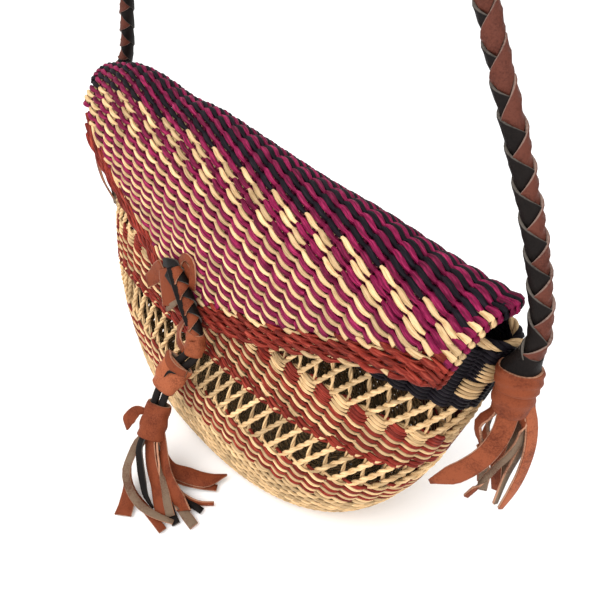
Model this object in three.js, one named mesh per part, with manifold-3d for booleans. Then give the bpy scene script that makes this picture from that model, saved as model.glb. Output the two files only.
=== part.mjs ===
// A twined grass shoulder bag: an oval basket with two openwork bands, a flap that folds over
// from the back rim, a braided leather strap with a fringed tassel at each foot, and a knotted
// leather closure with a third tassel. Millimetres, +Z up, the front faces -Y.
// The bag hangs by its strap, so the origin is under the strap's crown.

import * as THREE from 'three';
import { ParametricGeometry } from 'three/addons/geometries/ParametricGeometry.js';
import { mergeVertices } from 'three/addons/utils/BufferGeometryUtils.js';
import Module from 'manifold-3d';

const wasm = await Module();
wasm.setup();

// Driving dimensions. Heights are counted from the bottom of the basket.
const HANG_HEIGHT = 397;
const CROWN_DEPTH = 4;
const CLEARANCE = 0.3;
const GRASS_WALL = 3.2;
const LEATHER = 1.8;
const STRAP_DIAMETER = 8;
const RIM_HEIGHT = 4.2;

// The basket's level sections, from the foot to the mouth: superellipses of one power.
const SECTION_POWER = 2.39;
// The left front corner is squarer round the upper open band: at which height, over what spread and by how much.
const CORNER_PUSH = { height: 85, spread: 18, power: 2.6 };
const BASKET_SECTIONS = [
  { height: 0, halfLength: 86, halfDepth: 50 },
  { height: 6, halfLength: 96.5, halfDepth: 55 },
  { height: 18, halfLength: 105.5, halfDepth: 57.8 },
  { height: 32, halfLength: 112.5, halfDepth: 57.9 },
  { height: 47, halfLength: 118.3, halfDepth: 55 },
  { height: 66.5, halfLength: 123.6, halfDepth: 43.3 },
  { height: 79, halfLength: 126.8, halfDepth: 36 },
  { height: 92, halfLength: 130, halfDepth: 31 },
  { height: 112, halfLength: 134.4, halfDepth: 27.6 },
  { height: 149.5, halfLength: 142.3, halfDepth: 21.6 },
];
const BASKET_HEIGHT = BASKET_SECTIONS.at(-1).height;
const RIM_TOP = BASKET_HEIGHT + CLEARANCE + RIM_HEIGHT;

// The openwork: slanted windows between crossing stakes, one for each column of the basket.
// Each window's width and slant are shares of the step between stakes.
const STAKES = 46;
const STAKE_LEVEL = 72;
const OPENWORK_BANDS = [{ bottom: 48, top: 65.5 }, { bottom: 93, top: 111 }];
const WINDOW_WIDTH = 0.54;
const WINDOW_SLANT = 0.15;

// The flap from the back rim to the point: depth and height of its outer face, its two side edges,
// and how much of the ridge's bow each row takes.
const FLAP_COLUMNS = 22;
const RIDGE_BOW = [
  { x: -142, height: 2 }, { x: -134, height: 5.5 }, { x: -124, height: 8.2 }, { x: -104, height: 13.5 },
  { x: -84, height: 14 }, { x: -58, height: 10.6 }, { x: -32, height: 11.6 }, { x: -14, height: 9.8 },
  { x: 10, height: 7.2 }, { x: 40, height: 4.4 }, { x: 70, height: 3.9 }, { x: 100, height: 1.2 }, { x: 142, height: 0 },
];
const FLAP_ROWS = [
  { depth: 21.6, height: RIM_TOP + CLEARANCE, left: -122, right: 122, bow: 0, free: 0 },
  { depth: 17.5, height: 158.8, left: -129, right: 129, bow: 0.3, free: 0.35 },
  { depth: 10, height: 164.3, left: -135, right: 135, bow: 0.7, free: 0.75 },
  { depth: 2.5, height: 168.6, left: -137, right: 138.5, bow: 0.95, free: 1 },
  { depth: -3.5, height: 170, left: -138, right: 140, bow: 1, free: 1 },
  { depth: -9, height: 169, left: -138, right: 140, bow: 0.95, free: 1 },
  { depth: -15, height: 165.7, left: -137, right: 139, bow: 0.8, free: 1 },
  { depth: -22, height: 160.8, left: -134, right: 137.3, bow: 0.5, free: 1 },
  { depth: -27.4, height: 153.5, left: -130, right: 135.4, bow: 0.2, free: 1 },
  { depth: -30.2, height: 143.5, left: -125, right: 132.8, bow: 0, free: 1 },
  { depth: -32.6, height: 126, left: -105, right: 94, bow: 0, free: 1 },
  { depth: -34.2, height: 111, left: -84, right: 65.5, bow: 0, free: 1 },
  { depth: -36.8, height: 97.5, left: -62, right: 37, bow: 0, free: 1 },
  { depth: -40, height: 88.5, left: -44, right: 9, bow: 0, free: 1 },
  { depth: -43.2, height: 81.5, left: -28, right: -16, bow: 0, free: 1 },
];

// The strap's centre line from the right foot over the crown to the left foot: x, y, z.
const STRAP_ROUTE = [
  [148.3, -5.6, 152.4], [148.9, -4.3, 157], [148.5, -2.4, 162.4], [146.2, -0.8, 170], [142.4, -0.2, 180],
  [135.5, 0.4, 196], [128.5, 0.8, 209.5], [121, 1.3, 223], [113.5, 1.7, 236], [107.5, 2.1, 246.5], [101, 2.6, 258],
  [91, 3, 276], [79.5, 3.3, 296], [68, 3.6, 316], [56, 3.8, 336], [44, 4, 356], [32, 4, 375.5], [24, 4, 388],
  [16, 4, 396.2], [8, 4, 400.2], [0, 4, 401.2], [-8, 4, 400.2], [-16, 4.2, 396.2], [-24, 4.6, 388],
  [-32, 5, 375.5], [-44, 5.6, 356], [-56, 6.3, 336], [-68, 7, 316], [-79.5, 7.7, 296], [-90, 8.3, 276],
  [-99, 8.7, 258], [-107, 9, 243.5], [-115.8, 9.4, 226], [-123.6, 9.8, 210.5], [-130.2, 10.4, 194.5],
  [-136.2, 11, 181], [-141.3, 10.6, 172.5], [-145.8, 7.4, 166.8], [-148.2, 1.6, 162.4], [-148.8, -3.5, 157.6], [-148.3, -5.6, 152.4],
];
const STRAP_SIDES = 8;
const STRAP_STEPS = 38;

// The sleeve round each strap foot, and the head of the fringe below it.
const FOOT_OFFSET = 148.2;
const FOOT_DEPTH = -6;
const STRAP_WRAP = [
  { height: 150.4, radius: 6.2 },
  { height: 148.2, radius: 7 },
  { height: 143.8, radius: 7.4 },
  { height: 140.4, radius: 7 },
];
const STRAP_TASSEL_HEAD = [
  { height: 140.1, radius: 6.8 },
  { height: 135.2, radius: 7.2 },
  { height: 129.4, radius: 6 },
];

// The strips of a strap tassel: where each tip hangs (out from the middle, depth, height), its width,
// and how far its middle bows outward.
const STRAP_STRIPS = [
  { out: 136, depth: -27, height: 88, width: 8, bow: 3 },
  { out: 149, depth: -13, height: 81, width: 4, bow: 4 },
  { out: 148, depth: -19, height: 82, width: 5, bow: 3 },
  { out: 157, depth: -10, height: 79, width: 4, bow: 4 },
  { out: 160, depth: -8, height: 77, width: 6, bow: 7 },
  { out: 153, depth: 0, height: 76, width: 5, bow: 4 },
  { out: 151, depth: 3, height: 83, width: 5, bow: 3 },
  { out: 146, depth: -4, height: 82, width: 4.5, bow: 3 },
];

// The closure runs down the front in one line: each station is the middle of the thong there.
const BRAID_TOP = new THREE.Vector3(-24.4, -39, 109.8);
const BRAID_END = new THREE.Vector3(-3.4, -45.8, 88.6);
const BAND_TOP = new THREE.Vector3(-1.8, -46, 82.6);
const BAND_END = new THREE.Vector3(0.2, -50, 72.8);
const SLIDER_TOP = new THREE.Vector3(-4, -56.2, 68);
const SLIDER_END = new THREE.Vector3(-9, -66.5, 50.4);
const SLEEVE_TOP = new THREE.Vector3(-8, -71.6, 41.5);
const SLEEVE_END = new THREE.Vector3(-4.5, -82.5, 25);
const CORD_WIDTH = 9.6;
const CORD_DEPTH = 4.6;
const TAB_TILT = 0.251;
const TAB_FOOT = { depth: -45.9, height: 73 };

// The strips of the front tassel lie on the surface: where each tip rests, and its width.
const FRONT_STRIPS = [
  { x: 12, depth: -112, width: 9 },
  { x: 32, depth: -102, width: 7 },
  { x: 33, depth: -95, width: 5 },
  { x: 39, depth: -92, width: 6 },
  { x: 37, depth: -84, width: 10 },
  { x: 37, depth: -77, width: 4 },
  { x: 38, depth: -71.5, width: 4 },
  { x: 31, depth: -62.5, width: 7 },
];

const colours = {
  straw: { color: 0xc89a5b, roughness: 0.75, metalness: 0 },
  raspberry: { color: 0x8e2a55, roughness: 0.72, metalness: 0 },
  ropeGrass: { color: 0x8d7349, roughness: 0.75, metalness: 0 },
  brownLeather: { color: 0x9a4f30, roughness: 0.6, metalness: 0 },
  blackLeather: { color: 0x24211f, roughness: 0.5, metalness: 0 },
  braidLeather: { color: 0x5a3322, roughness: 0.55, metalness: 0 },
};

const bag = new THREE.Group();
bag.position.set(0, -CROWN_DEPTH, -HANG_HEIGHT);

function addPiece(name, geometry, finish) {
  const mesh = new THREE.Mesh(geometry, new THREE.MeshStandardMaterial(finish));
  mesh.name = name;
  bag.add(mesh);
}

// Keeps only positions, merges shared corners, drops flat triangles and turns the skin outward.
function seal(geometry) {
  geometry.deleteAttribute('normal');
  geometry.deleteAttribute('uv');
  const merged = mergeVertices(geometry, 1e-3);
  const position = merged.attributes.position;
  const corner = (index) => new THREE.Vector3().fromBufferAttribute(position, index);
  const kept = [];
  let volume = 0;
  for (let i = 0; i < merged.index.count; i += 3) {
    const [a, b, c] = [0, 1, 2].map((step) => merged.index.getX(i + step));
    if (a === b || b === c || c === a) continue;
    kept.push(a, b, c);
    volume += corner(a).dot(corner(b).cross(corner(c)));
  }
  if (volume < 0) kept.reverse();
  merged.setIndex(kept);
  return merged;
}

// A closed skin through a list of equal loops, whose first and last loop are closed by a fan.
function loft(loops) {
  const columns = loops[0].length;
  const sum = (loop) => loop.reduce((total, point) => total.add(point), new THREE.Vector3());
  const fan = (loop) => Array(columns).fill(sum(loop).divideScalar(columns));
  const closed = [fan(loops[0]), ...loops, fan(loops.at(-1))];
  return seal(weave(closed, columns));
}

// The surface through rows of points, each row a closed loop.
function weave(rows, columns) {
  const pick = (u, v, target) => {
    const row = rows[Math.round(v * (rows.length - 1))];
    target.copy(row[Math.round(u * columns) % columns]);
  };
  return new ParametricGeometry(pick, columns, rows.length - 1);
}

function toSolid(geometry) {
  const mesh = new wasm.Mesh({
    numProp: 3,
    vertProperties: new Float32Array(geometry.attributes.position.array),
    triVerts: new Uint32Array(geometry.index.array),
  });
  return new wasm.Manifold(mesh);
}

function toGeometry(solid) {
  const mesh = solid.getMesh();
  const geometry = new THREE.BufferGeometry();
  geometry.setAttribute('position', new THREE.BufferAttribute(mesh.vertProperties, 3));
  geometry.setIndex(new THREE.BufferAttribute(mesh.triVerts, 1));
  return geometry;
}

function fuse(geometries) {
  const solids = geometries.map(toSolid);
  return toGeometry(solids.reduce((sum, solid) => sum.add(solid)));
}

// Raises a number to a power and keeps its sign.
function signedPower(value, power) {
  return Math.sign(value) * Math.abs(value) ** power;
}

// The size of the basket's section at any height, straight between the rows of its table.
function sectionAt(height) {
  const upper = Math.max(1, BASKET_SECTIONS.findIndex((row) => row.height >= height));
  const [low, high] = [BASKET_SECTIONS[upper - 1], BASKET_SECTIONS[upper]];
  const share = (height - low.height) / (high.height - low.height);
  return {
    halfLength: THREE.MathUtils.lerp(low.halfLength, high.halfLength, share),
    halfDepth: THREE.MathUtils.lerp(low.halfDepth, high.halfDepth, share),
  };
}

function sectionPoint({ halfLength, halfDepth }, angle, height) {
  const corner = 2 * Math.max(0, -Math.cos(angle)) * Math.max(0, -Math.sin(angle));
  const rise = (height - CORNER_PUSH.height) / CORNER_PUSH.spread;
  const power = 2 / (SECTION_POWER + CORNER_PUSH.power * corner * Math.exp(-0.5 * rise ** 2));
  const x = halfLength * signedPower(Math.cos(angle), power);
  const y = halfDepth * signedPower(Math.sin(angle), power);
  return new THREE.Vector3(x, y, height);
}

// Angles that step equally along the rim of a section, from a share of the first step.
function equalSteps(section, count, phase) {
  const fine = 1440;
  const loop = Array.from({ length: fine + 1 }, (_, i) => sectionPoint(section, (2 * Math.PI * i) / fine, 0));
  const travelled = [0];
  for (let i = 0; i < fine; i += 1) {
    travelled.push(travelled[i] + loop[i].distanceTo(loop[i + 1]));
  }
  const step = travelled[fine] / count;
  return Array.from({ length: count }, (_, k) => {
    const i = travelled.findIndex((length) => length >= (k + phase) * step);
    return (2 * Math.PI * i) / fine;
  });
}

const STAKE_ANGLES = equalSteps(sectionAt(STAKE_LEVEL), STAKES, 0.5);

function sectionLoop(section, height) {
  return STAKE_ANGLES.map((angle) => sectionPoint(section, angle, height));
}

function shrink(section, amount) {
  return { halfLength: section.halfLength - amount, halfDepth: section.halfDepth - amount };
}

// The basket: an outer bowl less an inner one that runs out past the mouth, less the windows.
function makeBasket() {
  const last = BASKET_SECTIONS.length - 1;
  const outer = loft(BASKET_SECTIONS.map((row) => sectionLoop(row, row.height)));
  const inner = loft(BASKET_SECTIONS.map((row, i) => {
    const lift = (i === 0 ? GRASS_WALL : 0) + (i === last ? GRASS_WALL : 0);
    return sectionLoop(shrink(row, GRASS_WALL), row.height + lift);
  }));
  const shell = toSolid(outer).subtract(toSolid(inner));
  const windows = OPENWORK_BANDS.flatMap(makeWindows);
  return toGeometry(windows.reduce((solid, cutter) => solid.subtract(toSolid(cutter)), shell));
}

// One slanted prism for each window of an openwork band, set square to the wall between two stakes.
function makeWindows({ bottom, top }) {
  const middle = (bottom + top) / 2;
  const onWall = (angle, height) => sectionPoint(sectionAt(height), angle, height);
  return equalSteps(sectionAt(STAKE_LEVEL), STAKES, 1).map((angle, k) => {
    const leftStake = onWall(STAKE_ANGLES[k], middle);
    const rightStake = onWall(STAKE_ANGLES[(k + 1) % STAKES], middle);
    const along = rightStake.clone().sub(leftStake);
    const halfWidth = (WINDOW_WIDTH * along.length()) / 2;
    const slant = WINDOW_SLANT * along.length();
    const rise = onWall(angle, top).sub(onWall(angle, bottom));
    const halfHeight = rise.length() / 2;
    along.normalize();
    const outward = along.clone().cross(rise).normalize();
    const up = outward.clone().cross(along);
    const outline = new THREE.Shape([
      new THREE.Vector2(-halfWidth - slant, -halfHeight),
      new THREE.Vector2(halfWidth - slant, -halfHeight),
      new THREE.Vector2(halfWidth + slant, halfHeight),
      new THREE.Vector2(-halfWidth + slant, halfHeight),
    ]);
    const reach = GRASS_WALL * 1.6;
    const prism = new THREE.ExtrudeGeometry(outline, { depth: 2 * reach, bevelEnabled: false });
    prism.translate(0, 0, -reach);
    const centre = leftStake.lerp(rightStake, 0.5);
    prism.applyMatrix4(new THREE.Matrix4().makeBasis(along, up, outward).setPosition(centre));
    return seal(prism);
  });
}

// The rim: a rope of oval section that sits on the basket's mouth, closed on itself.
function makeRim() {
  const sides = 6;
  const section = sectionAt(BASKET_HEIGHT);
  const middleHeight = BASKET_HEIGHT + CLEARANCE + RIM_HEIGHT / 2;
  const rows = Array.from({ length: sides + 1 }, (_, i) => {
    const angle = (2 * Math.PI * i) / sides;
    const offset = (GRASS_WALL / 2) * (1 - Math.cos(angle)) - 0.4 * Math.cos(angle);
    return sectionLoop(shrink(section, offset), middleHeight + (RIM_HEIGHT / 2) * Math.sin(angle));
  });
  return seal(weave(rows, STAKES));
}

// The depth of the rim's back edge at a place along the basket.
function rimDepth(x) {
  const { halfLength, halfDepth } = sectionAt(BASKET_HEIGHT);
  return halfDepth * Math.max(0, 1 - Math.abs(x / halfLength) ** SECTION_POWER) ** (1 / SECTION_POWER);
}

// The ridge's bow at a place along the bag, straight between the rows of its table.
function ridgeBow(x) {
  const upper = Math.max(1, RIDGE_BOW.findIndex((row) => row.x >= x));
  const [low, high] = [RIDGE_BOW[upper - 1], RIDGE_BOW[upper]];
  return THREE.MathUtils.lerp(low.height, high.height, (x - low.x) / (high.x - low.x));
}

// A point of the flap's outer face: a row of its table, and a place from the left edge (-1) to the right (1).
function flapPoint(row, across) {
  const x = THREE.MathUtils.lerp(row.left, row.right, (across + 1) / 2);
  const pulledIn = rimDepth(0) - rimDepth(x);
  return new THREE.Vector3(x, row.depth - (1 - row.free) * pulledIn, row.height + row.bow * ridgeBow(x));
}

// The flap: its outer face, then its inner face one wall below, thinning to nothing at the two side edges.
// The back edge stands level on the rim.
function makeFlap() {
  const last = FLAP_ROWS.length - 1;
  const rows = Array.from({ length: FLAP_COLUMNS + 1 }, (_, column) => {
    const across = Math.sin((Math.PI / 2) * ((2 * column) / FLAP_COLUMNS - 1));
    const outer = FLAP_ROWS.map((row) => flapPoint(row, across));
    const inner = outer.map((point, i) => {
      const tangent = outer[Math.min(i + 1, last)].clone().sub(outer[Math.max(i - 1, 0)]);
      const outward = new THREE.Vector3(0, tangent.z, i === 0 ? 0 : -tangent.y).normalize();
      const row = FLAP_ROWS[i];
      const fromEdge = Math.min(1, ((1 - Math.abs(across)) * (row.right - row.left)) / (2 * GRASS_WALL));
      const thickness = GRASS_WALL * Math.sqrt(1 - (1 - fromEdge) ** 2);
      return point.clone().addScaledVector(outward, -thickness);
    });
    return [...outer, ...inner.reverse()];
  });
  return seal(weave(rows, 2 * FLAP_ROWS.length));
}

function regularSection(radius, sides) {
  const corners = Array.from({ length: sides }, (_, i) => {
    const angle = (2 * Math.PI * i) / sides;
    return new THREE.Vector2(radius * Math.cos(angle), radius * Math.sin(angle));
  });
  return new THREE.Shape(corners);
}

function makeStrap() {
  const stations = STRAP_ROUTE.map((point) => new THREE.Vector3(...point));
  const route = new THREE.CatmullRomCurve3(stations, false, 'centripetal');
  const section = regularSection(STRAP_DIAMETER / 2, STRAP_SIDES);
  const tube = new THREE.ExtrudeGeometry(section, { steps: STRAP_STEPS, extrudePath: route });
  return seal(tube);
}

// A round sleeve on an upright axis, given by rows of height and radius.
function makeUprightSleeve(rows, x, y, sides) {
  return loft(rows.map(({ height, radius }) => Array.from({ length: sides }, (_, i) => {
    const angle = (2 * Math.PI * i) / sides;
    return new THREE.Vector3(x + radius * Math.cos(angle), y + radius * Math.sin(angle), height);
  })));
}

// A leather strip along a bent path: a flat section of the given width, with its broad side facing outward.
function makeStrip(root, bend, tip, outward, width) {
  const path = new THREE.QuadraticBezierCurve3(root, bend, tip);
  const steps = 4;
  const loops = Array.from({ length: steps + 1 }, (_, i) => {
    const centre = path.getPoint(i / steps);
    const tangent = path.getTangent(i / steps);
    const across = tangent.clone().cross(outward).normalize().multiplyScalar(width / 2);
    const thick = across.clone().cross(tangent).normalize().multiplyScalar(LEATHER / 2);
    return [[-1, -1], [1, -1], [1, 1], [-1, 1]].map(([side, face]) => (
      centre.clone().addScaledVector(across, side).addScaledVector(thick, face)
    ));
  });
  return loft(loops);
}

// A strap tassel: the head under the sleeve, with its strips fused to it.
function makeStrapTassel(side) {
  const head = makeUprightSleeve(STRAP_TASSEL_HEAD, side * FOOT_OFFSET, FOOT_DEPTH, 12);
  const { height, radius } = STRAP_TASSEL_HEAD[1];
  const strips = STRAP_STRIPS.map((strip) => {
    const depth = FOOT_DEPTH + side * (strip.depth - FOOT_DEPTH);
    const tip = new THREE.Vector3(side * strip.out, depth, strip.height);
    const outward = new THREE.Vector3(tip.x - side * FOOT_OFFSET, tip.y - FOOT_DEPTH, 0).normalize();
    const root = new THREE.Vector3(side * FOOT_OFFSET, FOOT_DEPTH, height).addScaledVector(outward, radius * 0.55);
    const bend = root.clone().lerp(tip, 0.45).addScaledVector(outward, strip.bow);
    return makeStrip(root, bend, tip, outward, strip.width);
  });
  return fuse([head, ...strips]);
}

// A loop of oval section square to an axis, wide along X.
function ovalLoop(centre, axis, halfWidth, halfDepth, sides) {
  const across = new THREE.Vector3(1, 0, 0).addScaledVector(axis, -axis.x).normalize();
  const front = across.clone().cross(axis).normalize();
  return Array.from({ length: sides }, (_, i) => {
    const angle = (2 * Math.PI * i) / sides;
    return centre.clone()
      .addScaledVector(across, halfWidth * Math.cos(angle))
      .addScaledVector(front, halfDepth * Math.sin(angle));
  });
}

// An oval sleeve from one station to another, given by rows of share along it, half width and half depth.
function makeOvalSleeve(start, end, rows, sides = 14) {
  const axis = end.clone().sub(start).normalize();
  return loft(rows.map(({ share, halfWidth, halfDepth }) => (
    ovalLoop(start.clone().lerp(end, share), axis, halfWidth, halfDepth, sides)
  )));
}

// The tab: an outline with two lobes, cut from flat leather and laid on the slope of the flap's front.
function makeTab() {
  const outline = new THREE.Shape();
  outline.moveTo(-38, 35);
  outline.lineTo(-57, 11);
  outline.lineTo(-51, 5);
  outline.lineTo(-44, 11);
  outline.lineTo(-42, -1);
  outline.quadraticCurveTo(-33, -3, -28, 11);
  outline.lineTo(-28, 22);
  outline.quadraticCurveTo(-33, 34, -38, 35);
  const sheet = new THREE.ExtrudeGeometry(outline, { depth: LEATHER, bevelEnabled: false, curveSegments: 4 });
  sheet.rotateX(Math.PI / 2 - TAB_TILT);
  sheet.translate(0, TAB_FOOT.depth, TAB_FOOT.height);
  return seal(sheet);
}

// The slider: an oval sleeve with a slot through it for the thong.
function makeSlider() {
  const shell = makeOvalSleeve(SLIDER_TOP, SLIDER_END, [
    { share: 0, halfWidth: 8.6, halfDepth: 5 },
    { share: 0.5, halfWidth: 9.2, halfDepth: 5.8 },
    { share: 1, halfWidth: 7.2, halfDepth: 5 },
  ]);
  const slot = makeOvalSleeve(SLIDER_TOP, SLIDER_END, [
    { share: -0.3, halfWidth: CORD_WIDTH / 2 + CLEARANCE, halfDepth: CORD_DEPTH / 2 + CLEARANCE },
    { share: 1.3, halfWidth: CORD_WIDTH / 2 + CLEARANCE, halfDepth: CORD_DEPTH / 2 + CLEARANCE },
  ]);
  return toGeometry(toSolid(shell).subtract(toSolid(slot)));
}

// The thong: one flattened cord from the band through the slider to the tassel's sleeve.
function makeCords() {
  const along = (from, to) => to.clone().sub(from).normalize();
  const start = BAND_END.clone().addScaledVector(along(BAND_TOP, BAND_END), CLEARANCE);
  const end = SLEEVE_TOP.clone().addScaledVector(along(SLEEVE_TOP, SLEEVE_END), -CLEARANCE);
  const inSlider = along(SLIDER_TOP, SLIDER_END);
  const loops = [
    { centre: start, axis: along(BAND_TOP, BAND_END) },
    { centre: SLIDER_TOP.clone().addScaledVector(inSlider, -1), axis: inSlider },
    { centre: SLIDER_END.clone().addScaledVector(inSlider, 1), axis: inSlider },
    { centre: end, axis: along(SLEEVE_TOP, SLEEVE_END) },
  ];
  return loft(loops.map(({ centre, axis }) => ovalLoop(centre, axis, CORD_WIDTH / 2, CORD_DEPTH / 2, 12)));
}

// The sleeve of the front tassel, with the ear of its knot standing off one side.
function makeTasselSleeve() {
  const sleeve = makeOvalSleeve(SLEEVE_TOP, SLEEVE_END, [
    { share: 0, halfWidth: 8.4, halfDepth: 6.4 },
    { share: 0.2, halfWidth: 7.4, halfDepth: 6.4 },
    { share: 0.75, halfWidth: 7.6, halfDepth: 6.8 },
    { share: 1, halfWidth: 7, halfDepth: 6 },
  ]);
  const root = SLEEVE_TOP.clone().lerp(SLEEVE_END, 0.3).add(new THREE.Vector3(-6, 0, 0));
  const bend = root.clone().add(new THREE.Vector3(-9, -4, 9));
  const tip = root.clone().add(new THREE.Vector3(-9, -7, -4));
  const ear = makeStrip(root, bend, tip, new THREE.Vector3(0.4, -1, 0.2).normalize(), 6.5);
  return fuse([sleeve, ear]);
}

// The front tassel: a head under its sleeve, with strips that droop to the surface and lie on it.
function makeFrontTassel() {
  const axis = SLEEVE_END.clone().sub(SLEEVE_TOP).normalize();
  const top = SLEEVE_END.clone().addScaledVector(axis, CLEARANCE);
  const bottom = top.clone().addScaledVector(axis, 11);
  const head = makeOvalSleeve(top, bottom, [
    { share: 0, halfWidth: 7, halfDepth: 6 },
    { share: 0.6, halfWidth: 7.6, halfDepth: 6 },
    { share: 1, halfWidth: 5, halfDepth: 4 },
  ]);
  const root = top.clone().lerp(bottom, 0.6);
  const up = new THREE.Vector3(0, 0, 1);
  const strips = FRONT_STRIPS.map(({ x, depth, width }) => {
    const tip = new THREE.Vector3(x, depth, LEATHER / 2 + CLEARANCE);
    const bend = root.clone().lerp(tip, 0.5).setZ(LEATHER / 2 + CLEARANCE);
    return makeStrip(root, bend, tip, up, width);
  });
  return fuse([head, ...strips]);
}

addPiece('basket', makeBasket(), colours.straw);
addPiece('rim_border', makeRim(), colours.ropeGrass);
addPiece('flap', makeFlap(), colours.raspberry);
addPiece('strap', makeStrap(), colours.braidLeather);
for (const [name, side] of [['right', 1], ['left', -1]]) {
  addPiece(`strap_wrap_${name}`, makeUprightSleeve(STRAP_WRAP, side * FOOT_OFFSET, FOOT_DEPTH, 12), colours.brownLeather);
  addPiece(`strap_tassel_${name}`, makeStrapTassel(side), colours.brownLeather);
}
addPiece('closure_tab', makeTab(), colours.brownLeather);
addPiece('closure_braid', makeOvalSleeve(BRAID_TOP, BRAID_END, [
  { share: 0, halfWidth: 3, halfDepth: 2.2 },
  { share: 0.15, halfWidth: 5, halfDepth: 3.6 },
  { share: 0.85, halfWidth: 5, halfDepth: 3.6 },
  { share: 1, halfWidth: 4, halfDepth: 3 },
], 10), colours.blackLeather);
addPiece('closure_band', makeOvalSleeve(BAND_TOP, BAND_END, [
  { share: 0, halfWidth: 5.4, halfDepth: 4 },
  { share: 0.5, halfWidth: 6.2, halfDepth: 4.8 },
  { share: 1, halfWidth: 5.4, halfDepth: 4 },
]), colours.brownLeather);
addPiece('closure_cords', makeCords(), colours.blackLeather);
addPiece('closure_slider', makeSlider(), colours.brownLeather);
addPiece('closure_tassel_wrap', makeTasselSleeve(), colours.brownLeather);
addPiece('closure_tassel', makeFrontTassel(), colours.brownLeather);

export default bag;
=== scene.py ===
# %% [markdown]
# # A twined grass shoulder bag
# The bag is an oval basket of twined grass with two openwork bands, a flap that folds over from the back
# rim, a braided leather strap and a knotted closure with a tassel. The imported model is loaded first, as a
# frame that stays where it is. Every woven or leather piece below is laid over one of its solids.

import bpy
import numpy as np
from mathutils import Matrix


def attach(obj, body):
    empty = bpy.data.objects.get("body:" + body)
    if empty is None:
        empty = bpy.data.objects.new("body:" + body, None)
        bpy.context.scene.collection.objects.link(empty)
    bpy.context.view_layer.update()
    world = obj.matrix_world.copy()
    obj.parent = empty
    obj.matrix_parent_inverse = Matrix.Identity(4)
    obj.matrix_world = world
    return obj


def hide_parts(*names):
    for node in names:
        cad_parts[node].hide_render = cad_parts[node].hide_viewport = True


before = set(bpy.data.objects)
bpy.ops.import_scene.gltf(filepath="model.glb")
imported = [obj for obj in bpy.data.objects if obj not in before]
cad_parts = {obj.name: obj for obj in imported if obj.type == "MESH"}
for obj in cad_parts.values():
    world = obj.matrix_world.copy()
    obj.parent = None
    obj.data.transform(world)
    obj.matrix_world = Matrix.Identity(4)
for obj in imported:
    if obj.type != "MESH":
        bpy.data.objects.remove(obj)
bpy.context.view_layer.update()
print("solids:", sorted(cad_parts))

# %% [markdown]
# ## One way to count
# A weaver counts heights from the bag's foot, so the values below are millimetres from the foot's middle.
# The shared frame counts metres from the strap's crown. One small function turns the first into the
# second.

# %% From the weaver's millimetres to the frame
FOOT_IN_FRAME = np.array([0.0, -4.0, -397.0])


def to_frame(points):
    """Millimetres from the foot's middle, moved to the strap's crown and divided by a thousand."""
    return (np.asarray(points, dtype=float) + FOOT_IN_FRAME) / 1000.0


print("foot in the frame:", to_frame((0, 0, 0)))

# %% [markdown]
# ## Camera
# The photograph looks down at the bag from the front and right. The camera is placed by what it looks at,
# its distance, its azimuth and its elevation, and it has no shift and no blur. It could be turned by hand
# until it looks right, but each of these numbers can be corrected alone.

# %% Camera
LOOK_AT = np.array([0.5, 24.1, 67.1])
DISTANCE = 361.1
AZIMUTH, ELEVATION = np.radians([48.28, 40.91])
toward = np.array([np.cos(ELEVATION) * np.sin(AZIMUTH), -np.cos(ELEVATION) * np.cos(AZIMUTH),
                   np.sin(ELEVATION)])
screen_right = np.array([np.cos(AZIMUTH), np.sin(AZIMUTH), 0.0])
screen_up = np.cross(toward, screen_right)

camera_data = bpy.data.cameras.new("camera")
camera_data.sensor_width = 36.0
camera_data.lens = 36.749
camera_data.clip_start = 0.01
camera = bpy.data.objects.new("camera", camera_data)
turn = np.eye(4)
turn[:3, :3] = np.stack([screen_right, screen_up, toward], axis=1)
turn[:3, 3] = to_frame(LOOK_AT + DISTANCE * toward)
camera.matrix_world = Matrix(turn.tolist())
bpy.context.scene.collection.objects.link(camera)
bpy.context.scene.camera = camera
print("camera at", np.round(turn[:3, 3], 4))

# %% [markdown]
# ## From grids of points to a mesh
# Every piece here is a grid: rings of points carried along a path, or a sheet of rows and columns. The
# helper joins any number of such grids into one mesh. It also keeps two facts for the materials: a UV map
# that counts millimetres along the strand, and a tint that differs from stitch to stitch. Faces could be
# added one at a time, but whole arrays are quicker and show plainly which corners are joined.

# %% Mesh helper


def grid_quads(rows, columns, loop):
    """Corner numbers of the quads between neighbours. Each ring is closed, and loop joins the last ring
    to the first."""
    index = np.arange(rows * columns).reshape(rows, columns)
    index = np.concatenate([index, index[:, :1]], axis=1)
    if loop:
        index = np.concatenate([index, index[:1]], axis=0)
    return np.stack([index[:-1, :-1], index[:-1, 1:], index[1:, 1:], index[1:, :-1]], axis=-1).reshape(-1,
                                                                                                       4)


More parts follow.
